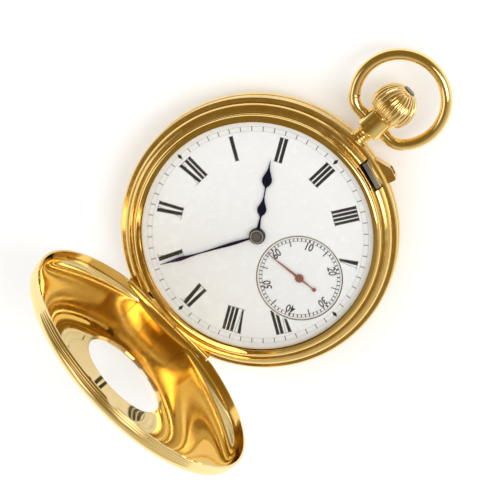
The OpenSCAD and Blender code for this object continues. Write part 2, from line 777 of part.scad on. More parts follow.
// Ribbed ball: each ring is [x from the ball's centre, radius, share of the flute's depth]
function crown_rings() =
    let (base_a = acos((crown_x - collar_end - crown_travel - 0.1) / crown_r),
         tip_a = 180 - asin(crown_plug_d / 2 / crown_r) - 4,
         neck_x = collar_end - crown_neck - crown_x, bore = stem_d / 2 + 0.02)
    concat(
        [[neck_x + 2.4, bore, 0], [neck_x, bore, 0], [neck_x, crown_neck_r, 0],
         [-crown_r * cos(base_a), crown_neck_r, 0]],
        [for (i = [0 : 13])
            let (a = base_a + (tip_a - base_a) * i / 13)
            [-crown_r * cos(a), crown_r * sin(a), pow(sin(a), 0.5)]]);

module crown() {
    per_rib = 6;
    n = crown_ribs * per_rib;
    rings = crown_rings();
    last = len(rings) - 1;
    points = concat(
        [for (p = rings, k = [0 : n - 1])
            let (rib = abs(cos(180 * k / per_rib)), r = p[1] - flute_depth * p[2] * (1 - sqrt(rib)))
            [p[0], r * cos(360 * k / n), r * sin(360 * k / n)]],
        [[rings[0][0], 0, 0], [rings[last][0], 0, 0]]);
    sides = [for (i = [0 : last - 1], k = [0 : n - 1])
        let (k2 = (k + 1) % n)
        each [[i * n + k, (i + 1) * n + k2, i * n + k2], [i * n + k, (i + 1) * n + k, (i + 1) * n + k2]]];
    caps = [for (k = [0 : n - 1])
        each [[k, (k + 1) % n, (last + 1) * n], [last * n + k, (last + 1) * n + 1, last * n + (k + 1) % n]]];
    color(gold) translate([crown_x, 0, z_stem]) polyhedron(points, concat(sides, caps));
}

module crown_plug() {
    face = crown_x + crown_rings()[len(crown_rings()) - 1][0];
    color(steel) along_x(face + 0.005, 0, z_stem) rotate_extrude() polygon([[0, 0], [crown_plug_d / 2, 0],
        [crown_plug_d / 2, 0.12], [crown_plug_d / 2 - 0.1, 0.22], [0, 0.26]]);
}

module winding_stem() {
    from = pinion_x - 0.4;
    color(steel) along_x(from, 0, z_stem) cylinder(d = stem_d, h = collar_end - crown_neck + 2.3 - from);
}

module bow() {
    corner_r = 3.4;
    corner_x = bow_pivot_x + corner_r;
    reach = bow_mid_r - corner_r;
    corner_y = sqrt(reach * reach - (bow_x - corner_x) * (bow_x - corner_x));
    join = atan2(corner_y, corner_x - bow_x);
    face_y = collar_d / 2 - bow_flat + part_gap;
    color(gold) translate([0, 0, z_stem]) {
        translate([bow_x, 0]) rotate(-join) ring_arc(bow_mid_r, 2 * join);
        for (s = [0, 1]) mirror([0, s]) {
            // Solder bead where the ring meets its bent end
            translate([bow_x + bow_mid_r * cos(join), bow_mid_r * sin(join)]) sphere(r = bow_wire_r + 0.02);
            translate([corner_x, corner_y]) rotate(join) ring_arc(corner_r, 180 - join);
            translate([bow_pivot_x, face_y]) rotate([-90, 0, 0]) cylinder(r = bow_wire_r, h = corner_y - face_y);
            translate([bow_pivot_x, sleeve_r + 0.2]) rotate([-90, 0, 0])
                cylinder(r = bow_pin_r, h = face_y - sleeve_r);
        }
    }
}

// Part of a ring of the bow's wire, from X round through the angle given
module ring_arc(r, angle) {
    intersection() {
        rotate_extrude($fn = 96) translate([r, 0]) circle(r = bow_wire_r, $fn = 48);
        translate([0, 0, -bow_wire_r - 1]) linear_extrude(2 * bow_wire_r + 2)
            polygon(concat([[0, 0]], arc(0, 0, 3 * r + 5, 0, angle, ceil(angle / 30))));
    }
}

// Springs of the lid, and the push piece

module spring_strip(r, t, from, to, z0, z1) {
    translate([0, 0, z0]) linear_extrude(z1 - z0)
        polygon(concat(arc(0, 0, r + t / 2, from, to, 24), arc(0, 0, r - t / 2, to, from, 24)));
}

module catch_spring() {
    head_in = catch_out_r - catch_t;
    color(steel) difference() {
        union() {
            spring_strip(spring_mid_r, catch_t, catch_root_ang - 4, catch_ang - 10, z_spring, z_spring_top);
            spring_strip(spring_mid_r, catch_t, catch_ang - 11, -7, z_catch_low, z_spring_top);
            spring_strip(spring_mid_r, catch_t, -8, 3.3, z_spring, z_spring_top);
            rotate(catch_ang) translate([head_in, -catch_len / 2, z_catch_low + 0.2])
                cube([catch_t, catch_len, z_bezel + 0.12 - z_catch_low - 0.2]);
        }
        at(polar(spring_mid_r, catch_root_ang), 0) cylinder(r = 0.32, h = 20, $fn = 32);
        // Eye that the stem passes through
        for (y = [-0.35, 0.1]) along_x(20, y, z_stem) cylinder(r = stem_d / 2 + 0.12, h = 8);
    }
}

// Strip inside the band, with a foot at one end and a tongue beside the hinge at the other
module fly_spring() {
    t = 0.6;
    top = z_plate_back - 0.15;
    tip_ang = 180 - asin(fly_y / fly_mid_r);
    tongue_x = -hinge_x + hinge_r + 0.2;
    foot = spring_screw_at[1];
    color(steel) difference() {
        union() {
            spring_strip(fly_mid_r, t, fly_root_ang + 2, tip_ang - 1.5, z_spring, top);
            translate([0, 0, z_spring]) linear_extrude(top - z_spring) link(foot, 0.9, polar(fly_mid_r, fly_root_ang), 0.4);
            translate([tongue_x, fly_y - 0.55, z_spring]) cube([2, 1.1, top - z_spring]);
            translate([tongue_x, fly_y - 0.55, z_spring]) cube([0.45, 1.1, z_seat + 0.65 - z_spring]);
        }
        at(foot, 0) cylinder(r = 0.32, h = 20, $fn = 32);
    }
}

spring_screw_at = [polar(spring_mid_r, catch_root_ang), polar(spring_mid_r - 0.4, fly_root_ang)];

module spring_screws() {
    color(blued) for (p = spring_screw_at) at(p, z_spring - 0.01) screw(1.3, 0.4, 0.6, 2.2);
}

module push_piece() {
    inner = norm(post_at()) + 0.45 + push_travel - 0.03;
    color(gold) rotate(push_ang) along_x(inner, 0, z_push) {
        cylinder(r = push_r, h = case_r + 1.5 - inner);
        translate([0, 0, band_in_r - 0.75 - inner]) cylinder(r = push_r + 0.25, h = 0.4);
    }
}

// Fin-shaped guard beside the push piece, let into the band
module push_guard_block(grow) {
    rotate(push_ang) intersection() {
        translate([case_r - 1.5, 0, z_push - 1.3 - grow]) linear_extrude(2.6 + 2 * grow)
            polygon([[0, -1.7 - grow], [1.5 + guard_out - 0.3, -1.7 - grow], [1.5 + guard_out, -1.4],
                [1.5 + guard_out, 0.6], [1.5, 3.3 + grow], [0, 3.3 + grow]]);
        translate([0, -10, back_h + 0.12 - grow]) cube([60, 20, band_h - 0.24 + 2 * grow]);
    }
}

module push_guard() {
    color(gold) difference() {
        push_guard_block(0);
        cylinder(r = case_r - guard_seat, h = 20);
        rotate(push_ang) {
            along_x(0, 0, z_push) cylinder(r = push_r + run_gap, h = 60);
            along_x(case_r + 0.8, 0, z_push) cylinder(r = push_r + 0.3, h = 5);
        }
    }
}

// Movement

function post_at() = polar(plate_r - 1.9, push_ang);

pillar_angles = [30, 85, 138, -62];
foot_angles = [75, 195, -45];

module main_plate() {
    color(brass) difference() {
        union() {
            at(centre, z_plate_back) cylinder(r = plate_r, h = plate_t);
            at(centre, z_plate_front - 0.01) tube(plate_r, plate_r - 1.1, 0.42);
            at(centre, z_plate_front + 0.4) tube(flange_r, plate_r - 1.1, z_dial - z_plate_front - 0.4);
            at(crown_wheel_at, z_plate_front - 0.1) cylinder(r = stud_r, h = z_bar + bar_t - z_plate_front + 0.1, $fn = 32);
            at(click_at, z_plate_front - 0.1) cylinder(r = 0.34, h = z_under + wheel_t - z_plate_front + 0.1, $fn = 32);
        }
        at(centre, 0) cylinder(r = 0.7 + run_gap, h = 20, $fn = 48);
        for (p = [third, fourth, escape_at, lever_at, balance_at])
            at(p, 0) cylinder(r = pivot_r + run_gap, h = 20, $fn = 32);
        at(fourth, z_plate_back - 0.1) cylinder(r = 0.3 + run_gap, h = 5, $fn = 32);
        at(barrel_at, 0) cylinder(r = 0.9 + run_gap, h = 20, $fn = 48);
        for (a = pillar_angles) at(polar(pillar_reach, a), 0) cylinder(r = 0.6, h = 20, $fn = 32);
        for (a = foot_angles) at(polar(foot_reach, a), 0) cylinder(r = 0.5, h = 20, $fn = 32);
        for (a = case_screw_angles) at(polar(plate_r - 0.9, a), 0) cylinder(r = 0.45, h = z_plate_front + 0.35, $fn = 32);
        along_x(pinion_x - 1, 0, z_stem) cylinder(r = stem_d / 2 + run_gap, h = 30);
        // Pocket where the winding pinion reaches the crown wheel
        translate([pinion_x - 0.15, -1.5, 0]) cube([pinion_w + 0.3, 3, 20]);
        // Way for the rocking bar's post
        at(post_at(), 0) cylinder(r = 1.0, h = z_plate_front + 0.2, $fn = 32);
        at(cock_foot, 0) cylinder(r = 0.5, h = 20, $fn = 32);
        for (p = bridge_feet) at(p, 0) cylinder(r = 0.35, h = 20, $fn = 32);
        at(minute_at, 0) cylinder(r = 0.3 + run_gap, h = 20, $fn = 32);
    }
}

pillar_reach = 17.6;
foot_reach = 18.2;
case_screw_angles = [52, 146, -36];
pinion_x = crown_wheel_at[0] + 2.9;
pinion_w = 0.9;
bridge_feet = [escape_at + polar(4.6, 235), lever_at + polar(4.2, 200)];

module pillars() {
    color(brass) for (a = pillar_angles) at(polar(pillar_reach, a), z_top_front + 0.01) {
        cylinder(r = 1.3, h = train_h - 0.02);
        translate([0, 0, train_h - 0.05]) cylinder(r = 0.58, h = 0.75, $fn = 32);
    }
}

module top_outline() {
    difference() {
        circle(r = plate_r - 0.7);
        translate(balance_at) circle(r = balance_d / 2 + 0.7);
        translate(escape_at) circle(r = 4.3);
        polygon([polar(30, 153), cock_foot + polar(2.6, 75), cock_foot + polar(3.2, 20),
            balance_at + polar(balance_d / 2, 60), escape_at + polar(4, 30), escape_at + polar(4, 290), polar(30, 236)]);
        // Ways to the case screws
        for (a = case_screw_angles) translate(polar(plate_r - 0.9, a)) circle(r = 1.6, $fn = 48);
    }
}

module three_quarter_plate() {
    color(brass) difference() {
        at(centre, z_top_back) linear_extrude(top_t) top_outline();
        for (p = [centre, third, fourth]) at(p, 0) cylinder(r = jewel_r, h = 20, $fn = 32);
        at(barrel_at, 0) cylinder(r = 0.9 + run_gap, h = 20, $fn = 48);
        for (a = pillar_angles) at(polar(pillar_reach, a), 0) {
            cylinder(d = screw_d + 0.1, h = z_top_back + 0.3, $fn = 48);
            cylinder(r = 0.5, h = 20, $fn = 32);
        }
    }
}

module plate_screws() {
    color(blued) {
        for (a = pillar_angles)
            at(polar(pillar_reach, a), z_top_back + 0.3) screw(screw_d, 0.45, 0.9, top_t - 0.32);
        at(cock_foot, z_cock_back + 0.25) screw(screw_d, 0.4, 0.9, 4);
        for (p = bridge_feet) at(p, z_bridge + 0.2) screw(1.3, 0.3, 0.6, 1.9);
    }
}

module case_screws() {
    color(blued) for (a = case_screw_angles)
        at(polar(plate_r - 0.9, a), z_plate_back - 0.01) screw(2.6, 0.45, 0.8, 1.1);
}

module balance_cock() {
    cock_t = 0.6;
    color(brass) difference() {
        union() {
            at(centre, z_cock_back) linear_extrude(cock_t) link(cock_foot, 2.1, balance_at, 2.6);
            at(cock_foot, z_cock_back) cylinder(r = 2.1, h = z_plate_back - z_cock_back - 0.01);
        }
        at(balance_at, 0) cylinder(r = jewel_r, h = 20, $fn = 32);
        at(cock_foot, 0) cylinder(d = screw_d + 0.1, h = z_cock_back + 0.25, $fn = 48);
        at(cock_foot, 0) cylinder(r = 0.5, h = 20, $fn = 32);
    }
}

module regulator() {
    // Index ring round the cock's jewel, with its pointer and two curb pins
    z = z_cock_back - 0.22 - part_gap;
    dir = angle_to(balance_at, cock_foot);
    color(steel) {
        at(balance_at, z) difference() {
            union() {
                cylinder(r = 1.5, h = 0.22);
                rotate(dir) linear_extrude(0.22) polygon([[1.2, -0.35], [6.2, -0.1], [6.2, 0.1], [1.2, 0.35]]);
                rotate(dir + 180) linear_extrude(0.22)
                    polygon([[1.2, -0.5], [3.35, -0.3], [3.35, 0.3], [1.2, 0.5]]);
            }
            translate([0, 0, -1]) cylinder(r = jewel_r + 0.15, h = 3, $fn = 32);
        }
        at(balance_at, 0) rotate(dir + 180) translate([3.05, 0, z + 0.1])
            cylinder(r = 0.12, h = z_balance - 0.22 - z - 0.1, $fn = 24);
    }
}

module escapement_bridge() {
    color(brass) difference() {
        at(centre, z_bridge) union() {
            linear_extrude(bridge_t) link(bridge_feet[0], 1.0, escape_at, 1.1);
            linear_extrude(bridge_t) link(escape_at, 1.1, lever_at, 1.0);
            linear_extrude(bridge_t) link(lever_at, 1.0, bridge_feet[1], 1.0);
            for (p = bridge_feet) at(p, 0) cylinder(r = 0.95, h = z_plate_back - z_bridge - 0.01, $fn = 48);
        }
        for (p = [escape_at, lever_at]) at(p, 0) cylinder(r = jewel_r * 0.8, h = 20, $fn = 32);
        for (p = bridge_feet) at(p, 0) {
            cylinder(r = 0.7, h = z_bridge + 0.2, $fn = 32);
            cylinder(r = 0.35, h = 20, $fn = 32);
        }
    }
}

module jewel(r, hole, t) {
    difference() {
        cylinder(r = r, h = t, $fn = 32);
        translate([0, 0, -1]) cylinder(r = hole, h = t + 2, $fn = 32);
    }
}

module jewels() {
    hole = pivot_r + run_gap;
    color("crimson") {
        for (p = [third, fourth]) at(p, z_top_back + 0.2) jewel(jewel_r - 0.01, hole, top_t - 0.25);
        at(centre, z_top_back + 0.2) jewel(jewel_r - 0.01, 0.3 + run_gap, top_t - 0.25);
        at(balance_at, z_cock_back + 0.05) jewel(jewel_r - 0.01, hole, 0.4);
        for (p = [escape_at, lever_at]) at(p, z_bridge + 0.02) jewel(jewel_r * 0.8 - 0.01, hole, bridge_t - 0.04);
    }
}

// Going train

barrel_turn = 0;
centre_pinion_turn = mesh_turn(barrel_at, centre, barrel_turn, barrel_teeth, centre_leaves);

module barrel() {
    r = pitch_r(barrel_teeth, train_m);
    color(brass) at(barrel_at, z_barrel) difference() {
        union() {
            cylinder(r = barrel_r, h = barrel_h);
            translate([0, 0, 0.1]) rotate(barrel_turn) linear_extrude(0.45)
                polygon(teeth_points(barrel_teeth, train_m, 0.42));
        }
        translate([0, 0, 0.3]) cylinder(r = barrel_r - barrel_wall, h = barrel_h - 0.55);
        translate([0, 0, -1]) cylinder(r = 0.9 + run_gap, h = 5, $fn = 48);
    }
}

module barrel_arbor() {
    color(steel) at(barrel_at, z_top_back + 0.1) {
        cylinder(r = 0.9, h = z_under - 0.12 - z_top_back - 0.1, $fn = 48);
        cylinder(r = 0.54, h = z_under + wheel_t - z_top_back - 0.1, $fn = 48);
        translate([0, 0, z_barrel + 0.4 - z_top_back - 0.1]) cylinder(r = 2.2, h = barrel_h - 0.75, $fn = 48);
    }
}

// Strip wound into a flat spiral, from radius r0 out to r1
module spiral(r0, r1, turns, t, per_turn) {
    n = turns * per_turn;
    polygon(concat(
        [for (i = [0 : n]) polar(r0 + (r1 - r0) * i / n + t / 2, i * 360 / per_turn)],
        [for (i = [n : -1 : 0]) polar(r0 + (r1 - r0) * i / n - t / 2, i * 360 / per_turn)]));
}

module mainspring() {
    color(blued) at(barrel_at, z_barrel + 0.4) linear_extrude(barrel_h - 0.75)
        spiral(2.2 + 0.15, barrel_r - barrel_wall - 0.11, 9, 0.2, 24);
}

module centre_wheel() {
    color(brass) at(centre, z_centre_wheel) spoked(centre_teeth, train_m, wheel_t, 5, 0.6);
}

module centre_arbor() {
    z_pinion = z_barrel - 0.05;
    color(steel) {
        at(centre, z_top_back + 0.25) cylinder(r = 0.3, h = 1, $fn = 32);
        at(centre, z_top_front + 0.1) cylinder(r = 0.6, h = z_minute_hand + 0.5 - z_top_front - 0.1, $fn = 48);
        at(centre, z_pinion) rotate(centre_pinion_turn) pinion(centre_leaves, train_m, 0.8, 0);
        at(centre, z_centre_wheel + wheel_t) cylinder(r = 0.69, h = z_plate_front + 0.03 - z_centre_wheel - wheel_t, $fn = 48);
    }
}

third_m = train_m * 0.9;
third_pinion_turn = mesh_turn(centre, third, 0, centre_teeth, third_leaves);
fourth_pinion_turn = mesh_turn(third, fourth, 0, third_teeth, fourth_leaves);
escape_pinion_turn = mesh_turn(fourth, escape_at, 0, fourth_teeth, escape_leaves);

// Arbor with its leaves and two pivots, from z0 up to z1
module arbor(p, z0, z1, leaves, m, turn, zp, hp) {
    color(steel) at(p, 0) {
        translate([0, 0, z0]) cylinder(r = pivot_r, h = z1 - z0, $fn = 32);
        translate([0, 0, z_top_front + 0.08]) cylinder(r = arbor_r, h = train_h - 0.16, $fn = 32);
        translate([0, 0, zp]) rotate(turn) pinion(leaves, m, hp, 0);
    }
}

module third_wheel() {
    color(brass) at(third, z_third_wheel) spoked(third_teeth, third_m, wheel_t, 5, arbor_r);
}

module third_arbor() {
    arbor(third, z_top_back + 0.25, z_plate_front, third_leaves, train_m, third_pinion_turn,
        z_centre_wheel - 0.1, 0.45);
}

module fourth_wheel() {
    color(brass) at(fourth, z_fourth_wheel) spoked(fourth_teeth, fourth_m, wheel_t, 5, arbor_r);
}

module fourth_arbor() {
    arbor(fourth, z_top_back + 0.25, z_plate_back, fourth_leaves, third_m, fourth_pinion_turn,
        z_third_wheel - 0.1, 0.5);
    color(steel) at(fourth, z_plate_back - 0.2) cylinder(r = 0.3, h = z_sub + 0.35 - z_plate_back + 0.2, $fn = 32);
}

// Escapement

module escape_wheel() {
    root = 2.3;
    color(steel) at(escape_at, z_escape_wheel) linear_extrude(0.2) difference() {
        polygon([for (i = [0 : escape_teeth - 1], p = [[0, root], [9, root], [14, escape_r], [16, escape_r]])
            polar(p[1], (i + p[0] / 24) * 360 / escape_teeth + lever_line - 1)]);
        for (i = [0 : 4]) rotate(i * 72) polygon(concat(arc(0, 0, root - 0.35, 10, 62, 6), arc(0, 0, 0.85, 44, 28, 3)));
        circle(r = arbor_r, $fn = 32);
    }
}

module escape_arbor() {
    z0 = z_bridge + 0.05;
    color(steel) at(escape_at, 0) {
        translate([0, 0, z0]) cylinder(r = pivot_r, h = z_plate_front - z0, $fn = 32);
        translate([0, 0, z_bridge + bridge_t + 0.06])
            cylinder(r = arbor_r, h = z_plate_back - 0.08 - z_bridge - bridge_t - 0.06, $fn = 32);
        translate([0, 0, z_fourth_wheel - 0.08]) rotate(escape_pinion_turn)
            pinion(escape_leaves, fourth_m, 0.45, 0);
    }
}

module pallet_lever() {
    arm = escape_r * tan(30);
    z = z_escape_wheel - 0.02;
    reach_out = fork_len - roller_r - 0.15;
    color(steel) at(lever_at, 0) rotate(lever_line) {
        translate([0, 0, z]) linear_extrude(0.22) difference() {
            union() {
                circle(r = 0.42, $fn = 32);
                for (s = [-1, 1]) polygon([[0.35, 0], [0.1, s * (arm + 0.2)], [-0.5, s * (arm + 0.2)], [-0.38, 0]]);
                polygon([[0, -0.35], [reach_out - 0.9, -0.18], [reach_out - 0.5, -0.55], [reach_out, -0.55],
                    [reach_out, 0.55], [reach_out - 0.5, 0.55], [reach_out - 0.9, 0.18], [0, 0.35]]);
            }
            translate([reach_out - 0.35, -0.22]) square([1, 0.44]);
        }
        translate([0, 0, z_bridge + bridge_t + 0.06])
            cylinder(r = 0.28, h = z_plate_back - 0.08 - z_bridge - bridge_t - 0.06, $fn = 32);
        translate([0, 0, z_bridge + 0.05]) cylinder(r = pivot_r, h = z_plate_front - z_bridge - 0.05, $fn = 32);
    }
    // Ruby stones at the arms' ends
    color("crimson") at(lever_at, z - 0.05) rotate(lever_line) for (s = [-1, 1])
        linear_extrude(0.28) polygon([[-0.2, s * arm - 0.12], [-0.2, s * arm + 0.14], [-0.75, s * arm + 0.14],
            [-0.75, s * arm - 0.12]]);
}

roller_r = 1.35;

module balance_wheel() {
    r = balance_d / 2;
    rim = 0.5;
    color(gold) at(balance_at, z_balance) difference() {
        union() {
            rotate(20) linear_extrude(balance_t) difference() {
                union() {
                    difference() {
                        circle(r = r - 0.4);
                        circle(r = r - 0.4 - rim);
                    }
                    translate([-r + 0.6, -0.4]) square([2 * r - 1.2, 0.8]);
                    circle(r = 1.2, $fn = 48);
                }
                // Cuts that free one end of each half of the rim
                for (a = [12, 192]) rotate(a) translate([r - 1.2, 0]) square([1.2, 0.25]);
            }
            // Timing screws
            for (i = [0 : 13]) rotate(20 + 25 + i * 360 / 14 - 12) translate([r - 0.5, 0, balance_t / 2])
                rotate([0, 90, 0]) cylinder(r = 0.23, h = 0.5, $fn = 24);
        }
        translate([0, 0, -1]) cylinder(r = arbor_r, h = 4, $fn = 32);
    }
}

module balance_staff() {
    z0 = z_cock_back + 0.1;
    color(steel) at(balance_at, 0) {
        translate([0, 0, z0]) cylinder(r = pivot_r, h = z_plate_front - z0, $fn = 32);
        translate([0, 0, z_cock_back + 0.75]) cylinder(r = arbor_r, h = z_plate_back - 0.1 - z_cock_back - 0.75, $fn = 32);
        translate([0, 0, z_escape_wheel]) cylinder(r = roller_r, h = 0.2, $fn = 48);
        rotate(lever_line) translate([roller_r - 0.25, 0, z_escape_wheel - 0.35])
            cylinder(r = 0.14, h = 0.4, $fn = 24);
    }
}

module hairspring() {
    color(blued) at(balance_at, z_balance - 0.28) {
        linear_extrude(0.18) spiral(0.55, 2.85, 9, 0.07, 24);
        tube(0.6, arbor_r, 0.2, $fn = 32);
    }
}

// Winding and hand setting under the dial

crown_wheel_turn = 0;
winding_turn = mesh_turn(crown_wheel_at, winding_at, crown_wheel_turn, crown_teeth, idler_teeth);
setting_turn = mesh_turn(crown_wheel_at, setting_at, crown_wheel_turn, crown_teeth, idler_teeth);
ratchet_turn = mesh_turn(winding_at, barrel_at, winding_turn, idler_teeth, ratchet_teeth);
minute_turn = mesh_turn(centre, minute_at, 0, cannon_teeth, minute_teeth);
hour_turn = mesh_turn(minute_at, centre, 0, minute_leaves, hour_teeth);
stud_r = 0.5;

module crown_wheel() {
    color(steel) at(crown_wheel_at, 0) {
        translate([0, 0, z_under]) rotate(crown_wheel_turn) plain_wheel(crown_teeth, dial_m, wheel_t, stud_r + run_gap);
        // Face teeth that the winding pinion drives
        for (i = [0 : crown_teeth - 1]) rotate((i + 0.5) * 360 / crown_teeth)
            translate([2.95, -0.08, z_under - 0.25]) cube([0.6, 0.16, 0.27]);
    }
}

module winding_pinion() {
    m = 2 * pinion_pitch_r / pinion_teeth;
    color(steel) along_x(pinion_x + 0.03, 0, z_stem) linear_extrude(pinion_w - 0.06) difference() {
        polygon(teeth_points(pinion_teeth, m, 0.34, 0.3));
        circle(r = stem_d / 2 + run_gap, $fn = 48);
    }
}

// The pinion's pitch line lies halfway up the face teeth
pinion_pitch_r = z_under - 0.11 - z_stem;

module ratchet_wheel() {
    color(steel) at(barrel_at, z_under - 0.1) rotate(ratchet_turn) plain_wheel(ratchet_teeth, dial_m, wheel_t + 0.1, 0.55);
}

module click() {
    d = norm(barrel_at - click_at);
    tip = pitch_r(ratchet_teeth, dial_m) + tooth_out * dial_m + part_gap;
    color(steel) at(click_at, z_under - 0.1) rotate(angle_to(click_at, barrel_at)) {
        difference() {
            union() {
                cylinder(r = 0.9, h = wheel_t + 0.1, $fn = 48);
                linear_extrude(wheel_t + 0.1) polygon([[0.3, 0.85], [d - tip, 0.5], [d - tip - 0.02, 0.1],
                    [0.5, -0.6], [-0.4, -0.6], [-2.3, 0.1], [-2.2, 0.5], [-0.4, 0.6]]);
            }
            translate([0, 0, -1]) cylinder(r = 0.4, h = 3, $fn = 32);
        }
    }
}

module rocking_bar() {
    color(steel) {
        at(centre, z_bar) linear_extrude(bar_t) difference() {
            union() {
                link(winding_at, 0.75, crown_wheel_at, 1.2);
                link(crown_wheel_at, 1.2, setting_at, 0.75);
                link(crown_wheel_at, 1.0, post_at(), 0.6);
            }
            translate(crown_wheel_at) circle(r = stud_r + run_gap, $fn = 32);
        }
        for (p = [winding_at, setting_at]) at(p, z_under - 0.2)
            cylinder(r = stud_r, h = z_bar - z_under + 0.25, $fn = 32);
        at(post_at(), z_push - 0.4) cylinder(r = 0.45, h = z_bar - z_push + 0.5, $fn = 32);
    }
}

module idler(p, turn) {
    color(steel) at(p, z_under + 0.05) rotate(turn) plain_wheel(idler_teeth, dial_m, wheel_t - 0.04, stud_r + run_gap);
}

module winding_idler() {
    idler(winding_at, winding_turn);
}

module setting_idler() {
    idler(setting_at, setting_turn);
}

// Motion work

module cannon_pinion() {
    z_top = z_minute_hand;
    color(steel) at(centre, z_plate_front + 0.05) difference() {
        union() {
            cylinder(r = cannon_r, h = z_top - z_plate_front - 0.05, $fn = 48);
            translate([0, 0, 0.15]) pinion(cannon_teeth, dial_m, 0.45, 0);
        }
        translate([0, 0, -1]) cylinder(r = cannon_in, h = 10, $fn = 48);
    }
}

module minute_wheel() {
    color(brass) {
        at(minute_at, z_under) rotate(minute_turn) spoked(minute_teeth, dial_m, wheel_t, 4, 0.3);
        at(minute_at, z_under + wheel_t - 0.01) pinion(minute_leaves, dial_m, 0.5, 0);
        at(minute_at, z_under) cylinder(r = 0.5, h = wheel_t, $fn = 32);
        at(minute_at, z_plate_back + 0.1) cylinder(r = 0.25, h = z_under + 0.1 - z_plate_back - 0.1, $fn = 32);
    }
}

module hour_wheel() {
    color(brass) at(centre, z_hour_wheel) difference() {
        union() {
            rotate(hour_turn) linear_extrude(wheel_t - 0.03) polygon(teeth_points(hour_teeth, dial_m, 0.4));
            cylinder(r = pipe_out, h = z_hour_hand + hand_t - z_hour_wheel, $fn = 48);
        }
        translate([0, 0, -1]) cylinder(r = cannon_r + run_gap, h = 10, $fn = 48);
    }
}

// Dial and hands

module dial() {
    color("ivory") difference() {
        union() {
            at(centre, z_dial) cylinder(r = dial_r, h = dial_t, $fn = 180);
            for (a = foot_angles) at(polar(foot_reach, a), z_plate_back + 0.1)
                cylinder(r = 0.45, h = z_dial - z_plate_back, $fn = 32);
        }
        at(centre, 0) cylinder(r = pipe_out + 0.2, h = 20, $fn = 48);
        at(fourth, z_dial - 1) cylinder(r = sub_r, h = 5);
    }
}

module seconds_dial() {
    color("ivory") at(fourth, z_dial - 0.1) difference() {
        cylinder(r = sub_r - 0.02, h = z_sub - z_dial + 0.1);
        translate([0, 0, -1]) cylinder(r = 0.5, h = 5, $fn = 32);
    }
}

module hand_at(p, z, dir) {
    at(p, z) rotate(dir) linear_extrude(hand_t) children();
}

// Half outline of a hand, mirrored about its length
module leaf(points) {
    polygon(concat(points, [for (p = reversed(points)) [p[0], -p[1]]]));
}

module hour_hand() {
    first = hour_len * 0.35;
    second = hour_len * 0.735;
    color(blued) difference() {
        union() {
            at(centre, z_hour_hand) cylinder(r = hub_r + 0.05, h = hand_t + 0.03, $fn = 48);
            hand_at(centre, z_hour_hand, hour_dir) leaf([[1.33, 0.32], [first - 1.6, 0.14], [first - 1.2, 0.25], [first - 0.75, 0.65],
                [first - 0.2, 0.87], [first + 0.35, 0.82], [first + 1.0, 0.5], [first + 1.7, 0.25],
                [first + 2.4, 0.12], [second - 1.6, 0.12], [second - 1.3, 0.25], [second - 0.9, 0.65],
                [second - 0.3, 0.92], [second + 0.3, 0.9], [second + 1.0, 0.62], [second + 1.7, 0.33],
                [second + 2.4, 0.16], [hour_len, 0.03]]);
        }
        cylinder(r = pipe_out + 0.01, h = 20, $fn = 48);
    }
}

module minute_hand() {
    belly = minute_len * 0.79;
    color(blued) difference() {
        union() {
            at(centre, z_minute_hand) rotate_extrude($fn = 48)
                polygon([[0, 0], [hub_r, 0], [hub_r, 0.25], [hub_r - 0.2, 0.42], [0, 0.42]]);
            hand_at(centre, z_minute_hand, minute_dir) leaf([[1.2, 0.16], [4.0, 0.3], [6.0, 0.3], [8.5, 0.18], [belly - 4.0, 0.12],
                [belly - 2.0, 0.2], [belly - 0.5, 0.37], [belly + 0.4, 0.36], [belly + 2.0, 0.18],
                [minute_len, 0.03]]);
        }
        cylinder(r = 0.61, h = 20, $fn = 48);
    }
}

module seconds_hand() {
    tail = 3.46;
    z = z_sub + 0.2;
    color("sienna") difference() {
        union() {
            at(fourth, z) cylinder(r = 0.8, h = hand_t + 0.05, $fn = 32);
            hand_at(fourth, z, second_dir) leaf([[-tail, 0.06], [-0.5, 0.18], [0.5, 0.22], [seconds_len, 0.04]]);
            at(fourth, z) rotate(second_dir) translate([-tail, 0]) cylinder(r = 0.38, h = hand_t, $fn = 24);
        }
        at(fourth, 0) cylinder(r = 0.31, h = 20, $fn = 32);
    }
}

case_middle();
front_lid();
lid_glass();
lid_hinge_pin();
back_cover();
back_hinge_pin();
cuvette();
cuvette_hinge_pin();
bezel();
crystal();
pendant();
pendant_sleeve();
crown();
crown_plug();
winding_stem();
bow();
catch_spring();
fly_spring();
spring_screws();
push_piece();
push_guard();
case_screws();
main_plate();
pillars();
three_quarter_plate();
plate_screws();
balance_cock();
regulator();
escapement_bridge();
jewels();
barrel();
barrel_arbor();
mainspring();
ratchet_wheel();
click();
crown_wheel();
rocking_bar();
winding_idler();
setting_idler();
winding_pinion();
centre_wheel();
centre_arbor();
third_wheel();
third_arbor();
fourth_wheel();
fourth_arbor();
escape_wheel();
escape_arbor();
pallet_lever();
balance_wheel();
balance_staff();
hairspring();
cannon_pinion();
minute_wheel();
hour_wheel();
dial();
seconds_dial();
hour_hand();
minute_hand();
seconds_hand();
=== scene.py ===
import json
import math

import bmesh
import bpy
import numpy
from mathutils import Matrix, Vector
from mathutils.bvhtree import BVHTree


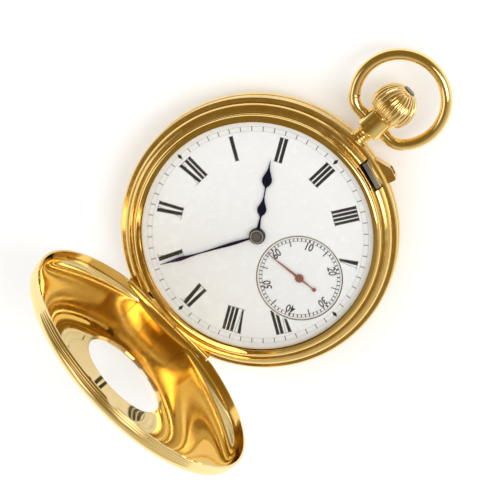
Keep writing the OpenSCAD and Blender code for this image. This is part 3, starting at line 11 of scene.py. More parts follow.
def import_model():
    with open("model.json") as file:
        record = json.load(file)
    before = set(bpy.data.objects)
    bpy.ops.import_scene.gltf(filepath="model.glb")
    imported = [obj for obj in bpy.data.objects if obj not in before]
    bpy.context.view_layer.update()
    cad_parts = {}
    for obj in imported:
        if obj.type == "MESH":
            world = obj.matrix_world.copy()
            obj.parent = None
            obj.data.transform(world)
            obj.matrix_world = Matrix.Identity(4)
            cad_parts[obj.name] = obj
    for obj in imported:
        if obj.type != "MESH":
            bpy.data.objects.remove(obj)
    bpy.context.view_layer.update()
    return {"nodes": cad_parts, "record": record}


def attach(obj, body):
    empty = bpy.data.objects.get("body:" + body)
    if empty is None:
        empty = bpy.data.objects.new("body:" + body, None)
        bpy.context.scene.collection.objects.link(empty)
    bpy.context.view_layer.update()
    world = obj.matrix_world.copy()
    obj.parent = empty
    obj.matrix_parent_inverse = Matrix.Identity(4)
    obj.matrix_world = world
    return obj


# Metres in a millimetre
MM = 0.001

# Camera: fitted to the outline of case, dial, lid and bow, in mm and degrees
CAMERA_DISTANCE = 600.0
CAMERA_AZIMUTH = 15.54
CAMERA_TILT = 17.25
CAMERA_ROLL = -44.55
CAMERA_FOCAL = 233.03
CAMERA_SHIFT = (-1.39, -2.67)
CAMERA_SENSOR = 36.0
CAMERA_NEAREST = 10.0
DIAL_Z = 9.3

# Print on the dial, in mm
FACE_TOP = 9.3
INK = 0.012
INK_SUNK = 0.01
FAINT_DROP = 0.002
RING_STEPS = 180
SMALL_RING_STEPS = 120
NUMERAL_IN = 14.6
NUMERAL_OUT = 19.3
HAIRLINE = 0.07
SERIF = 0.45
TRACK_IN = 19.85
TRACK_OUT = 20.75
TRACK_LINE = 0.04
MINUTE_MARK = 0.14

# Width and spacing of a numeral's strokes, by its number of letters, in mm
STROKE_WIDTHS = (0.74, 0.68, 0.62, 0.58)
STROKE_SPACES = (0.90, 0.88, 0.81, 0.76)

# Strokes of a numeral: width at the inner and outer end, as shares of the full width
STRAIGHT_ENDS = (0.92, 1.0)
V_ENDS = (0.45, 1.1)
X_ENDS = (1.0, 1.1)

# Slanted letters, in mm: room, middle, then how far the ends of the broad stroke and of the
# hairline lie to the side of the middle
SLANTED = {
    "V": (1.45, 0.72, V_ENDS, (0.02, -0.38), (0.12, 0.52)),
    "X": (1.4, 0.7, X_ENDS, (0.24, -0.28), (-0.5, 0.42)),
}

# Diamonds at the quarters of the minute track: half width, then reach inwards and outwards, in mm
DIAMOND_HALF = 0.36
DIAMOND_IN = 0.75
DIAMOND_OUT = 0.65
DIAMOND_OFFSET = 0.25

# Seconds dial, in mm
SMALL_CENTRE = (0.0, -11.14)
SMALL_FACE_TOP = 9.15
SMALL_RADIUS = 8.1
SECONDS_IN = 7.05
SECONDS_OUT = 7.6
SECONDS_LINE = 0.06
SECONDS_MARK = 0.20
TENS_MARK = 0.32
LONG_MARK = 0.9
NUMERAL_GAP = 0.25

# Dark edge of the sunk seconds dial: inside and outside its radius, below and above the faces, in mm
EDGE_IN = 0.15
EDGE_OUT = 0.03
EDGE_BELOW = 0.05
EDGE_ABOVE = 0.004

# Digits of the seconds dial: height and boldness in mm, the rest as shares
DIGIT_HEIGHT = 1.5
DIGIT_BOLD = 0.035
DIGIT_SCALE = 1.37
DIGIT_LEAN = 0.15
DIGIT_SPACING = 0.95
DIGIT_WIDTH = 0.85

# Lid, in mm and degrees
LID_OPEN = 92.0
HINGE_X = -24.1
HINGE_Z = 8.6
WINDOW_R = 8.6

# Chapter ring on the lid: distances from the window's edge, then its strokes and height, in mm
CHAPTER_LINES = (0.75, 5.0)
CHAPTER_IN = 1.3
CHAPTER_OUT = 4.1
CHAPTER_LINE = 0.12
CHAPTER_WIDTH = 0.42
CHAPTER_SPACE = 0.6
CHAPTER_LIFT = 0.012
CHAPTER_SUNK = 0.02
CHAPTER_PARTS = 3

# Floor: half its width in metres, its drop in mm, and its glow where it is seen
FLOOR_SIZE = 1.5
FLOOR_DROP = 0.02
FLOOR_LIFT = 0.13

# World: strength, then what polished metal sees, from low down to overhead
WORLD_STRENGTH = 0.89
WORLD_LOW = (0.74, 0.68, 0.57)
WORLD_HIGH = (0.24, 0.16, 0.04)
WORLD_SPAN = (0.05, 0.75)
WORLD_LEAN = 0.35

# Soft boxes: place, size and aim in metres, power in watts
LAMPS = {
    "soft_box_left": ((-0.45, 0.35, 0.55), (0.50, 0.40), 0.6),
    "soft_box_right": ((0.32, -0.26, 0.62), (0.28, 0.45), 1.4),
}
LAMP_AIM = (0.0, 0.0, 0.01)

# Metals: light and dark colour, least and most roughness, grains in a metre, relief in mm
METALS = {
    "gold": ((0.95, 0.735, 0.315), (0.91, 0.66, 0.24), 0.07, 0.17, 900.0, 0.0015),
    # Gold darkened as painted shade on the case band, with specks of real wear
    "worn_gold_painted_shade": ((0.90, 0.665, 0.265), (0.83, 0.575, 0.19), 0.10, 0.24, 900.0, 0.0015),
    # Gold lightened as painted light on the lid, and more finely polished
    "lid_gold_painted_light": ((0.965, 0.76, 0.365), (0.935, 0.71, 0.30), 0.015, 0.05, 300.0, 0.0003),
    # Gold lightened as painted light on the bow
    "bow_gold_painted_light": ((0.97, 0.765, 0.36), (0.93, 0.695, 0.285), 0.07, 0.17, 900.0, 0.0015),
    # Gold lightened as painted light on the crown
    "crown_gold_painted_light": ((0.985, 0.78, 0.405), (0.945, 0.71, 0.305), 0.10, 0.22, 1200.0, 0.002),
    "gilt": ((0.80, 0.56, 0.22), (0.70, 0.46, 0.16), 0.32, 0.48, 4000.0, 0.004),
    "brass": ((0.78, 0.57, 0.26), (0.66, 0.46, 0.18), 0.18, 0.30, 2500.0, 0.003),
    "dark_brass": ((0.50, 0.36, 0.14), (0.38, 0.26, 0.09), 0.25, 0.4, 2500.0, 0.003),
    "steel": ((0.56, 0.56, 0.57), (0.42, 0.42, 0.43), 0.18, 0.32, 3000.0, 0.003),
    "brushed_steel": ((0.50, 0.49, 0.47), (0.22, 0.21, 0.20), 0.40, 0.60, 2500.0, 0.010),
    "dark_steel": ((0.22, 0.20, 0.17), (0.12, 0.11, 0.10), 0.25, 0.45, 2500.0, 0.006),
    "blued": ((0.050, 0.080, 0.32), (0.018, 0.022, 0.10), 0.16, 0.28, 700.0, 0.002),
    "hub_blued": ((0.060, 0.045, 0.20), (0.025, 0.015, 0.08), 0.16, 0.28, 700.0, 0.002),
}

# Cloudiness of a metal's colour in a metre, and grains of its relief for each grain of its polish
CLOUDS = 160.0
RELIEF_GRAIN = 0.6

# Metals whose grain runs one way, and metals with specks of wear in this colour
EVEN = (1, 1, 1)
GRAIN_RUNS = {"brushed_steel": (1, 0.15, 1)}
WEAR_COLOURS = {"worn_gold_painted_shade": (0.66, 0.42, 0.15)}
WEAR_SCALE = 2600.0
WEAR_SHARE = 0.36
WEAR_EDGE = 0.06

# Inks and matt lacquers: light and dark colour, middle roughness, and how far it varies
INK_VARIES = 0.1
INKS = {
    "hub_steel": ((0.155, 0.142, 0.118), (0.075, 0.068, 0.058), 0.35),
    "copper": ((0.36, 0.11, 0.065), (0.27, 0.08, 0.05), 0.35),
    "ink": ((0.034, 0.028, 0.022), (0.020, 0.016, 0.013), 0.45),
    "faint_ink": ((0.42, 0.41, 0.38), (0.32, 0.31, 0.29), 0.45),
    "lid_ink": ((0.012, 0.018, 0.06), (0.006, 0.010, 0.035), 0.2),
}

# Enamels: light and dark colour
ENAMELS = {
    "enamel": ((0.915, 0.925, 0.925), (0.912, 0.922, 0.921)),
    "small_enamel": ((0.90, 0.913, 0.918), (0.897, 0.91, 0.914)),
}

# Turned hub in the middle of the minute hand: radius in mm, then grey levels by share of the radius.
# The bright ring at 0.76 is a painted highlight, and the dark rings at 0.63 to 0.67 and at the rim are
# painted shade
HUB_RADIUS = 1.49
HUB_RINGS_WITH_PAINTED_LIGHT = ((0.45, 0.075), (0.57, 0.10), (0.63, 0.01), (0.67, 0.01),
             (0.76, 0.45), (0.85, 0.05), (0.97, 0.01))
HUB_TINT = (1.0, 0.93, 0.84)

# The lid is duller up to one height, in mm, and fades to its full polish at another
LID_DULL_TO = 12.0
LID_BRIGHT_FROM = 28.0
LID_DULLNESS = 0.10

NODE_FINISH = {
    "gold": ["back_cover", "cuvette", "bezel", "pendant", "push_piece"],
    "worn_gold_painted_shade": ["case_middle", "push_guard"],
    "bow_gold_painted_light": ["bow"],
    "lid_gold_painted_light": ["front_lid"],
    "crown_gold_painted_light": ["crown"],
    "gilt": ["main_plate", "pillars", "three_quarter_plate", "balance_cock", "escapement_bridge",
             "barrel"],
    "brass": ["centre_wheel", "third_wheel", "fourth_wheel", "hour_wheel", "minute_wheel",
              "cannon_pinion", "balance_wheel"],
    "steel": ["lid_hinge_pin", "back_hinge_pin", "cuvette_hinge_pin", "pendant_sleeve", "winding_stem",
              "barrel_arbor", "mainspring", "ratchet_wheel", "click", "crown_wheel", "rocking_bar",
              "winding_idler", "setting_idler", "winding_pinion", "third_arbor", "fourth_arbor",
              "escape_wheel", "escape_arbor", "pallet_lever", "balance_staff", "fly_spring"],
    "brushed_steel": ["catch_spring"],
    "dark_steel": ["crown_plug"],
    "blued": ["spring_screws", "case_screws", "plate_screws", "regulator", "hairspring", "hour_hand"],
    "hub_blued": ["minute_hand"],
    "hub_steel": ["centre_arbor"],
    "copper": ["seconds_hand"],
    "enamel": ["dial"],
    "small_enamel": ["seconds_dial"],
    "glass": ["crystal", "lid_glass"],
    "ruby": ["jewels"],
}

# Turned shapes that are shaded smooth, where their faces meet within this angle in degrees
SMOOTH_NODES = ["case_middle", "front_lid", "back_cover", "bezel", "pendant", "bow", "crown",
                "crown_plug", "crystal", "lid_glass", "push_guard", "push_piece", "minute_hand",
                "centre_arbor"]
SMOOTH_LIMIT = 28.0
SAME_POINT = 1e-7


def body_of(frame, node):
    """The name of the body that a node rides on."""
    for body, members in frame["record"]["behaviour"]["bodies"].items():
        if node in members:
            return body
    raise ValueError("no body holds " + node)


# Node materials

def new_material(name):
    material = bpy.data.materials.new(name)
    material.use_nodes = True
    tree = material.node_tree
    return material, tree, tree.nodes["Principled BSDF"]


def add(tree, kind, **values):
    """Adds a node, and sets its inputs or its own settings by name."""
    node = tree.nodes.new(kind)
    for key, value in values.items():
        if key in node.inputs:
            node.inputs[key].default_value = value
        else:
            setattr(node, key, value)
    return node


def noise(tree, scale, detail=3.0, stretch=EVEN):
    """Noise over the object's own coordinates; scale counts features in a metre."""
    place = add(tree, "ShaderNodeTexCoord")
    mapping = add(tree, "ShaderNodeMapping")
    mapping.inputs["Scale"].default_value = stretch
    texture = add(tree, "ShaderNodeTexNoise", Scale=scale, Detail=detail)
    tree.links.new(place.outputs["Object"], mapping.inputs["Vector"])
    tree.links.new(mapping.outputs["Vector"], texture.inputs["Vector"])
    return texture.outputs["Fac"]


def blend(tree, source, stops):
    """A colour ramp through (place, value) stops, each value a colour or a grey level."""
    node = add(tree, "ShaderNodeValToRGB")
    steps = node.color_ramp.elements
    steps[0].position = stops[0][0]
    steps[1].position = stops[-1][0]
    for place, value in stops[1:-1]:
        steps.new(place)
    for step, (place, value) in zip(steps, stops):
        level = (value, value, value) if isinstance(value, (int, float)) else value
        step.color = (*level, 1.0)
    tree.links.new(source, node.inputs["Fac"])
    return node.outputs["Color"]


def ramp(tree, source, low, high, start=0.3, end=0.7):
    """A colour ramp between two values; noise mostly lies between the default ends."""
    return blend(tree, source, [(start, low), (end, high)])


def mixed(tree, share, first, second):
    """Two colours mixed by a share. Each is a socket or a fixed colour."""
    mix = add(tree, "ShaderNodeMix", data_type="RGBA")
    tree.links.new(share, mix.inputs["Factor"])
    colour_inputs = [socket for socket in mix.inputs if socket.type == "RGBA"]
    for socket, colour in zip(colour_inputs, (first, second)):
        if isinstance(colour, tuple):
            socket.default_value = (*colour, 1.0)
        else:
            tree.links.new(colour, socket)
    return next(socket for socket in mix.outputs if socket.type == "RGBA")


def bump(tree, shader, source, height_mm):
    node = add(tree, "ShaderNodeBump", Strength=1.0, Distance=height_mm * MM)
    tree.links.new(source, node.inputs["Height"])
    tree.links.new(node.outputs["Normal"], shader.inputs["Normal"])


def speckle(tree, colour, mark):
    """Small dark marks of wear scattered over a colour."""
    start = 1.0 - WEAR_SHARE
    mask = ramp(tree, noise(tree, WEAR_SCALE, 6.0), 0.0, 1.0, start, start + WEAR_EDGE)
    return mixed(tree, mask, colour, mark)


def metal(name, light, dark, smooth, rough, grain, relief):
    """Polished or worked metal: cloudy colour, uneven polish, fine relief, specks of wear."""
    material, tree, shader = new_material(name)
    shader.inputs["Metallic"].default_value = 1.0
    stretch = GRAIN_RUNS.get(name, EVEN)
    colour = ramp(tree, noise(tree, CLOUDS), dark, light)
    if name in WEAR_COLOURS:
        colour = speckle(tree, colour, WEAR_COLOURS[name])
    tree.links.new(colour, shader.inputs["Base Color"])
    polish = noise(tree, grain, 5.0, stretch)
    tree.links.new(ramp(tree, polish, smooth, rough), shader.inputs["Roughness"])
    bump(tree, shader, noise(tree, grain * RELIEF_GRAIN, 2.0, stretch), relief)
    return material


def enamel(name, light, dark):
    """Fired enamel: nearly white, faintly cloudy, under a clear glaze."""
    material, tree, shader = new_material(name)
    tree.links.new(ramp(tree, noise(tree, 90.0, 1.0), dark, light), shader.inputs["Base Color"])
    tree.links.new(ramp(tree, noise(tree, 500.0), 0.26, 0.28), shader.inputs["Roughness"])
    shader.inputs["Coat Weight"].default_value = 0.3
    shader.inputs["Coat Roughness"].default_value = 0.08
    return material


def ink(name, light, dark, rough):
    """Ink or lacquer: a faintly uneven colour and gloss."""
    material, tree, shader = new_material(name)
    tree.links.new(ramp(tree, noise(tree, 2500.0), dark, light), shader.inputs["Base Color"])
    polish = ramp(tree, noise(tree, 1500.0), rough - INK_VARIES, rough + INK_VARIES)
    tree.links.new(polish, shader.inputs["Roughness"])
    return material


def glass(name):
    """Thin watch glass: a clear sheet that mostly shows by its gloss."""
    material, tree, shader = new_material(name)
    shader.inputs["Transmission Weight"].default_value = 1.0
    shader.inputs["IOR"].default_value = 1.5
    shader.inputs["Alpha"].default_value = 0.07
    tint = ramp(tree, noise(tree, 60.0), (0.97, 0.98, 0.97), (1, 1, 1))
    tree.links.new(tint, shader.inputs["Base Color"])
    tree.links.new(ramp(tree, noise(tree, 200.0), 0.0, 0.003), shader.inputs["Roughness"])
    return material


def ruby(name):
    """Clear red stone for the jewels."""
    material, tree, shader = new_material(name)
    shader.inputs["Transmission Weight"].default_value = 0.4
    shader.inputs["IOR"].default_value = 1.76
    colour = ramp(tree, noise(tree, 1500.0), (0.35, 0.0, 0.03), (0.6, 0.02, 0.07))
    tree.links.new(colour, shader.inputs["Base Color"])
    tree.links.new(ramp(tree, noise(tree, 3000.0), 0.05, 0.12), shader.inputs["Roughness"])
    return material


def make_materials():
    materials = {name: metal(name, *recipe) for name, recipe in METALS.items()}
    materials.update({name: ink(name, *recipe) for name, recipe in INKS.items()})
    materials.update({name: enamel(name, *recipe) for name, recipe in ENAMELS.items()})
    materials["glass"] = glass("glass")
    materials["ruby"] = ruby("ruby")
    duller_low(materials["lid_gold_painted_light"])
    hub_over(materials["hub_blued"])
    return materials


def share_of_radius(tree, radius):
    """Distance from the dial's middle, as a share of a radius in mm."""
    place = add(tree, "ShaderNodeTexCoord")
    flat = add(tree, "ShaderNodeVectorMath", operation="MULTIPLY")
    flat.inputs[1].default_value = (1, 1, 0)
    reach = add(tree, "ShaderNodeVectorMath", operation="LENGTH")
    share = add(tree, "ShaderNodeMath", operation="DIVIDE")
    share.inputs[1].default_value = radius * MM
    tree.links.new(place.outputs["Object"], flat.inputs[0])
    tree.links.new(flat.outputs[0], reach.inputs[0])
    tree.links.new(reach.outputs["Value"], share.inputs[0])
    return share.outputs[0]


def mix_shaders(tree, share, first, second):
    """Shows one shader where the share is 0 and another where it is 1."""
    mix = add(tree, "ShaderNodeMixShader")
    tree.links.new(share, mix.inputs["Fac"])
    tree.links.new(first.outputs[0], mix.inputs[1])
    tree.links.new(second.outputs[0], mix.inputs[2])
    tree.links.new(mix.outputs[0], tree.nodes["Material Output"].inputs["Surface"])


def hub_over(material):
    """Shows turned steel on the hand's hub in grey rings, with a painted highlight ring and painted
    shade rings, and the hand's own finish beyond it.
    """
    tree = material.node_tree
    own = tree.nodes["Principled BSDF"]
    share = share_of_radius(tree, HUB_RADIUS)
    beyond = add(tree, "ShaderNodeMath", operation="GREATER_THAN")
    beyond.inputs[1].default_value = 1.0
    tree.links.new(share, beyond.inputs[0])
    # Grey rings of the hub, with its painted highlight and painted shade
    steps = [(place, tuple(grey * tint for tint in HUB_TINT)) for place, grey in HUB_RINGS_WITH_PAINTED_LIGHT]
    inner = add(tree, "ShaderNodeBsdfPrincipled")
    tree.links.new(blend(tree, share, steps), inner.inputs["Base Color"])
    tree.links.new(ramp(tree, noise(tree, 2500.0), 0.25, 0.42), inner.inputs["Roughness"])
    mix_shaders(tree, beyond.outputs[0], inner, own)


def duller_low(material):
    """Adds roughness to the lid near its hinge."""
    tree = material.node_tree
    shader = tree.nodes["Principled BSDF"]
    polish = shader.inputs["Roughness"].links[0].from_socket
    place = add(tree, "ShaderNodeTexCoord")
    split = add(tree, "ShaderNodeSeparateXYZ")
    share = add(tree, "ShaderNodeMath", operation="DIVIDE")
    share.inputs[1].default_value = LID_BRIGHT_FROM * MM
    both = add(tree, "ShaderNodeMath", operation="ADD")
    tree.links.new(place.outputs["Object"], split.inputs["Vector"])
    tree.links.new(split.outputs["Z"], share.inputs[0])
    extra = ramp(tree, share.outputs[0], LID_DULLNESS, 0.0, LID_DULL_TO / LID_BRIGHT_FROM, 1.0)
    tree.links.new(polish, both.inputs[0])
    tree.links.new(extra, both.inputs[1])
    tree.links.new(both.outputs[0], shader.inputs["Roughness"])


def finish_nodes(frame, materials):
    """Gives every node its material."""
    for finish, nodes in NODE_FINISH.items():
        for name in nodes:
            node = frame["nodes"][name]
            if not node.data.materials:
                node.data.materials.append(materials[finish])
            for slot in node.material_slots:
                slot.material = materials[finish]


# Smooth shading of turned shapes

def read_mesh(mesh):
    """A triangle mesh's points, the point at each corner, and the facing of each corner's face."""
    points = numpy.empty(len(mesh.vertices) * 3)
    mesh.vertices.foreach_get("co", points)
    corners = numpy.empty(len(mesh.loops), dtype=numpy.int64)
    mesh.loops.foreach_get("vertex_index", corners)
    facing = numpy.empty(len(mesh.polygons) * 3)
    mesh.polygons.foreach_get("normal", facing)
    return points.reshape(-1, 3), corners, numpy.repeat(facing.reshape(-1, 3), 3, axis=0)


def corner_weights(points, corners):
    """The angle at each corner of each triangle."""
    places = points[corners].reshape(-1, 3, 3)
    onward = numpy.roll(places, -1, axis=1) - places
    back = numpy.roll(places, 1, axis=1) - places
    length = numpy.linalg.norm(onward, axis=2) * numpy.linalg.norm(back, axis=2)
    cosine = (onward * back).sum(axis=2) / numpy.maximum(length, 1e-20)
    return numpy.arccos(numpy.clip(cosine, -1, 1)).reshape(-1)


def corners_that_meet(points, corners):
    """Every pair of corners that lie at the same place, as two lists."""
    rounded = numpy.round(points / SAME_POINT)
    place = numpy.unique(rounded, axis=0, return_inverse=True)[1].reshape(-1)[corners]
    order = numpy.argsort(place, kind="stable")
    count = numpy.bincount(place)
    first = numpy.concatenate(([0], numpy.cumsum(count)[:-1]))
    size = count[place]
    one = numpy.repeat(numpy.arange(len(corners)), size)
    step = numpy.arange(len(one)) - numpy.repeat(numpy.cumsum(size) - size, size)
    return one, order[first[place[one]] + step]


def smooth_normals(mesh):
    """Gives each corner the mean normal of the faces round it that lie within the limit."""
    if len(mesh.loops) != 3 * len(mesh.polygons):
        return
    points, corners, facing = read_mesh(mesh)
    weight = corner_weights(points, corners)
    one, other = corners_that_meet(points, corners)
    near = (facing[one] * facing[other]).sum(axis=1) > math.cos(math.radians(SMOOTH_LIMIT))
    one, other = one[near], other[near]
    normals = numpy.zeros((len(corners), 3))
    numpy.add.at(normals, one, facing[other] * weight[other, None])
    normals /= numpy.maximum(numpy.linalg.norm(normals, axis=1, keepdims=True), 1e-12)
    mesh.shade_smooth()
    mesh.normals_split_custom_set(normals.tolist())


def smooth_nodes(frame):
    for name in SMOOTH_NODES:
        smooth_normals(frame["nodes"][name].data)


# Flat print: closed slabs a few hundredths of a millimetre thick

def slab(mesh, outline, low, high):
    """A closed slab over a flat outline, given in mm counter-clockwise."""
    bottom = [mesh.verts.new((x * MM, y * MM, low * MM)) for x, y in outline]
    top = [mesh.verts.new((x * MM, y * MM, high * MM)) for x, y in outline]
    mesh.faces.new(reversed(bottom))
    mesh.faces.new(top)
    for i in range(len(outline)):
        j = (i + 1) % len(outline)
        mesh.faces.new((bottom[i], bottom[j], top[j], top[i]))


def ring(mesh, centre, inner, outer, low, high, steps):
    """A flat ring of short slabs round a centre."""
    for i in range(steps):
        a = math.radians(360.0 * i / steps)
        b = math.radians(360.0 * (i + 1) / steps)
        corners = [(inner, a), (outer, a), (outer, b), (inner, b)]
        outline = [(centre[0] + r * math.cos(t), centre[1] + r * math.sin(t)) for r, t in corners]
        slab(mesh, outline, low, high)


def radial(centre, clock, points):
    """Points given as (across, out) at a clock angle, turned into x and y. Across counts clockwise."""
    a = math.radians(clock)
    out = (math.sin(a), math.cos(a))
    across = (math.cos(a), -math.sin(a))
    return [(centre[0] + u * across[0] + v * out[0], centre[1] + u * across[1] + v * out[1])
            for u, v in points]


def counter_clockwise(outline):
    area = 0.0
    for (ax, ay), (bx, by) in zip(outline, outline[1:] + outline[:1]):
        area += ax * by - bx * ay
    return outline if area > 0 else outline[::-1]


def radial_mark(mesh, centre, clock, span, half, low, high):
    """A straight mark along a clock angle, over a span of radii."""
    inner, outer = span
    outline = [(-half, inner), (-half, outer), (half, outer), (half, inner)]
    slab(mesh, counter_clockwise(radial(centre, clock, outline)), low, high)


def beyond_line(outline, centre, normal, radius):
    """The part of an outline beyond a tangent of a circle, and the points where it is cut."""
    kept, edge = [], []
    for p, q in zip(outline, outline[1:] + outline[:1]):
        dp = (p[0] - centre[0]) * normal[0] + (p[1] - centre[1]) * normal[1] - radius
        dq = (q[0] - centre[0]) * normal[0] + (q[1] - centre[1]) * normal[1] - radius
        if dp >= 0:
            kept.append(p)
        if dp * dq < 0:
            t = dp / (dp - dq)
            crossing = (p[0] + t * (q[0] - p[0]), p[1] + t * (q[1] - p[1]))
            kept.append(crossing)
            edge.append(crossing)
    return kept, edge


def cut(outline, centre, radius):
    """The part of an outline outside a circle, cut along the tangent nearest to it."""
    aim = [sum(p[k] for p in outline) / len(outline) - centre[k] for k in (0, 1)]
    rounds = 3
    for _ in range(rounds):
        size = math.hypot(*aim)
        normal = (aim[0] / size, aim[1] / size)
        kept, edge = beyond_line(outline, centre, normal, radius)
        if len(edge) < 2:
            break
        aim = [(edge[0][k] + edge[1][k]) / 2 - centre[k] for k in (0, 1)]
    return kept


def letter_strokes(letter, x, width, space):
    """The strokes of one letter that starts at x, and the room it takes."""
    if letter == "I":
        middle = x + space / 2
        return [(middle, middle, width * STRAIGHT_ENDS[0], width * STRAIGHT_ENDS[1])], space
    room, offset, ends, broad, thin = SLANTED[letter]
    middle = x + offset
    return [(middle + broad[0], middle + broad[1], width * ends[0], width * ends[1]),
            (middle + thin[0], middle + thin[1], HAIRLINE, HAIRLINE)], room


def numeral_strokes(text, width, space):
    """Strokes of a Roman numeral as (across inside, across outside, width inside, width outside)."""
    strokes = []
    x = 0.0
    for letter in text:
        added, room = letter_strokes(letter, x, width, space)
        strokes += added
        x += room
    return [(a - x / 2, b - x / 2, w, v) for a, b, w, v in strokes]


def add_numeral(mesh, text, clock, low, high):
    """A Roman numeral with its top outwards, its hairline serifs and its cut by the seconds dial."""
    width, space = STROKE_WIDTHS[len(text) - 1], STROKE_SPACES[len(text) - 1]
    strokes = numeral_strokes(text, width, space)
    inner, outer, half = NUMERAL_IN, NUMERAL_OUT, HAIRLINE / 2
    outlines = [[(a - w / 2, inner), (b - v / 2, outer), (b + v / 2, outer), (a + w / 2, inner)]
                for a, b, w, v in strokes]
    for level in (inner, outer):
        ends = [a if level == inner else b for a, b, w, v in strokes]
        left, right = min(ends) - SERIF, max(ends) + SERIF
        outlines.append([(left, level - half), (right, level - half),
                         (right, level + half), (left, level + half)])
    for outline in outlines:
        placed = counter_clockwise(radial((0, 0), clock, outline))
        kept = cut(placed, SMALL_CENTRE, SMALL_RADIUS + NUMERAL_GAP)
        if len(kept) > 2:
            slab(mesh, kept, low, high)


def finish_piece(mesh, name, material, body):
    """Turns a bmesh into a piece that rides on a body."""
    bmesh.ops.recalc_face_normals(mesh, faces=mesh.faces)
    data = bpy.data.meshes.new(name)
    mesh.to_mesh(data)
    mesh.free()
    data.materials.append(material)
    piece = bpy.data.objects.new(name, data)
    bpy.context.scene.collection.objects.link(piece)
    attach(piece, body)
    return piece


def print_numerals(materials, body):
    """All hours but VI, whose place the seconds dial takes."""
    names = {"I": 30, "II": 60, "III": 90, "IIII": 120, "V": 150, "VII": 210, "VIII": 240,
             "IX": 270, "X": 300, "XI": 330, "XII": 0}
    mesh = bmesh.new()
    for text, clock in names.items():
        add_numeral(mesh, text, clock, FACE_TOP - INK_SUNK, FACE_TOP + INK)
    finish_piece(mesh, "dial_numerals", materials["ink"], body)


def add_diamond(mesh, clock, low, high):
    """A diamond across the minute track."""
    middle = (TRACK_IN + TRACK_OUT) / 2 + DIAMOND_OFFSET
    outline = [(0, middle - DIAMOND_IN), (DIAMOND_HALF, middle),
               (0, middle + DIAMOND_OUT), (-DIAMOND_HALF, middle)]
    slab(mesh, counter_clockwise(radial((0, 0), clock, outline)), low, high)


def print_minute_track(materials, body):
    low, high = FACE_TOP - INK_SUNK, FACE_TOP + INK
    lines = bmesh.new()
    half = TRACK_LINE / 2
    for radius in (TRACK_IN, TRACK_OUT):
        ring(lines, (0, 0), radius - half, radius + half, low, high - FAINT_DROP, RING_STEPS)
    finish_piece(lines, "minute_track_lines", materials["faint_ink"], body)
    marks = bmesh.new()
    for minute in range(60):
        if minute % 15 == 0:
            add_diamond(marks, minute * 6, low, high)
        else:
            radial_mark(marks, (0, 0), minute * 6, (TRACK_IN, TRACK_OUT), MINUTE_MARK / 2, low, high)
    finish_piece(marks, "minute_marks", materials["ink"], body)


def digit_curve(text):
    """Plain slanted digits as a text curve round its own middle."""
    curve = bpy.data.curves.new("digits", "FONT")
    curve.body = text
    curve.size = DIGIT_HEIGHT * MM * DIGIT_SCALE
    curve.offset = DIGIT_BOLD * MM
    curve.shear = DIGIT_LEAN
    curve.align_x = "CENTER"
    curve.align_y = "CENTER"
    curve.extrude = INK / 2 * MM
    curve.resolution_u = 3
    curve.space_character = DIGIT_SPACING
    return curve


def add_digits(mesh, text, clock, radius):
    """Digits with their top outwards on the seconds dial."""
    curve = digit_curve(text)
    holder = bpy.data.objects.new("digits", curve)
    bpy.context.scene.collection.objects.link(holder)
    bpy.context.view_layer.update()
    flat = bpy.data.meshes.new_from_object(holder)
    a = math.radians(clock)
    place = Vector((SMALL_CENTRE[0] + radius * math.sin(a), SMALL_CENTRE[1] + radius * math.cos(a),
                    SMALL_FACE_TOP + INK / 2))
    narrow = Matrix.Diagonal((DIGIT_WIDTH, 1, 1, 1))
    flat.transform(Matrix.Translation(place * MM) @ Matrix.Rotation(-a, 4, "Z") @ narrow)
    mesh.from_mesh(flat)
    bpy.data.objects.remove(holder)
    bpy.data.curves.remove(curve)
    bpy.data.meshes.remove(flat)


def print_seconds_dial(materials, body):
    low, high = SMALL_FACE_TOP - INK_SUNK, SMALL_FACE_TOP + INK
    track = bmesh.new()
    half = SECONDS_LINE / 2
    for radius in (SECONDS_IN, SECONDS_OUT):
        ring(track, SMALL_CENTRE, radius - half, radius + half, low, high, SMALL_RING_STEPS)
    for second in range(60):
        inner = SECONDS_IN - LONG_MARK if second % 10 == 5 else SECONDS_IN
        width = TENS_MARK if second % 10 == 0 else SECONDS_MARK
        radial_mark(track, SMALL_CENTRE, second * 6, (inner, SECONDS_OUT), width / 2, low, high)
    for tens in range(1, 7):
        add_digits(track, str(tens * 10), tens * 60, SECONDS_IN - LONG_MARK)
    finish_piece(track, "seconds_track", materials["ink"], body)


def edge_seconds_dial(materials, body):
    """The dark edge where the seconds dial is sunk into the dial."""
    edge = bmesh.new()
    ring(edge, SMALL_CENTRE, SMALL_RADIUS - EDGE_IN, SMALL_RADIUS + EDGE_OUT,
         SMALL_FACE_TOP - EDGE_BELOW, FACE_TOP + EDGE_ABOVE, SMALL_RING_STEPS)
    finish_piece(edge, "seconds_dial_edge", materials["dark_brass"], body)


# Chapter ring on the outside of the lid, round its window

def opened(point):
    """A point of the closed lid, in mm, turned open about the lid's hinge."""
    t = math.radians(LID_OPEN)
    x, z = point[0] - HINGE_X, point[2] - HINGE_Z
    return Vector((x * math.cos(t) - z * math.sin(t) + HINGE_X, point[1],
                   x * math.sin(t) + z * math.cos(t) + HINGE_Z))


def lay_on_lid(mesh, tree):
    """Lays flat slabs, drawn over the closed lid, on the open lid's outer surface."""
    t = math.radians(LID_OPEN)
    inward = Vector((math.sin(t), 0, -math.cos(t)))
    far_above = 50.0
    for vertex in mesh.verts:
        x, y, z = vertex.co / MM
        start = opened((x, y, far_above))
        hit = tree.ray_cast(start * MM, inward)[0]
        lift = CHAPTER_LIFT if z > 0 else -CHAPTER_SUNK
        vertex.co = hit - inward * lift * MM


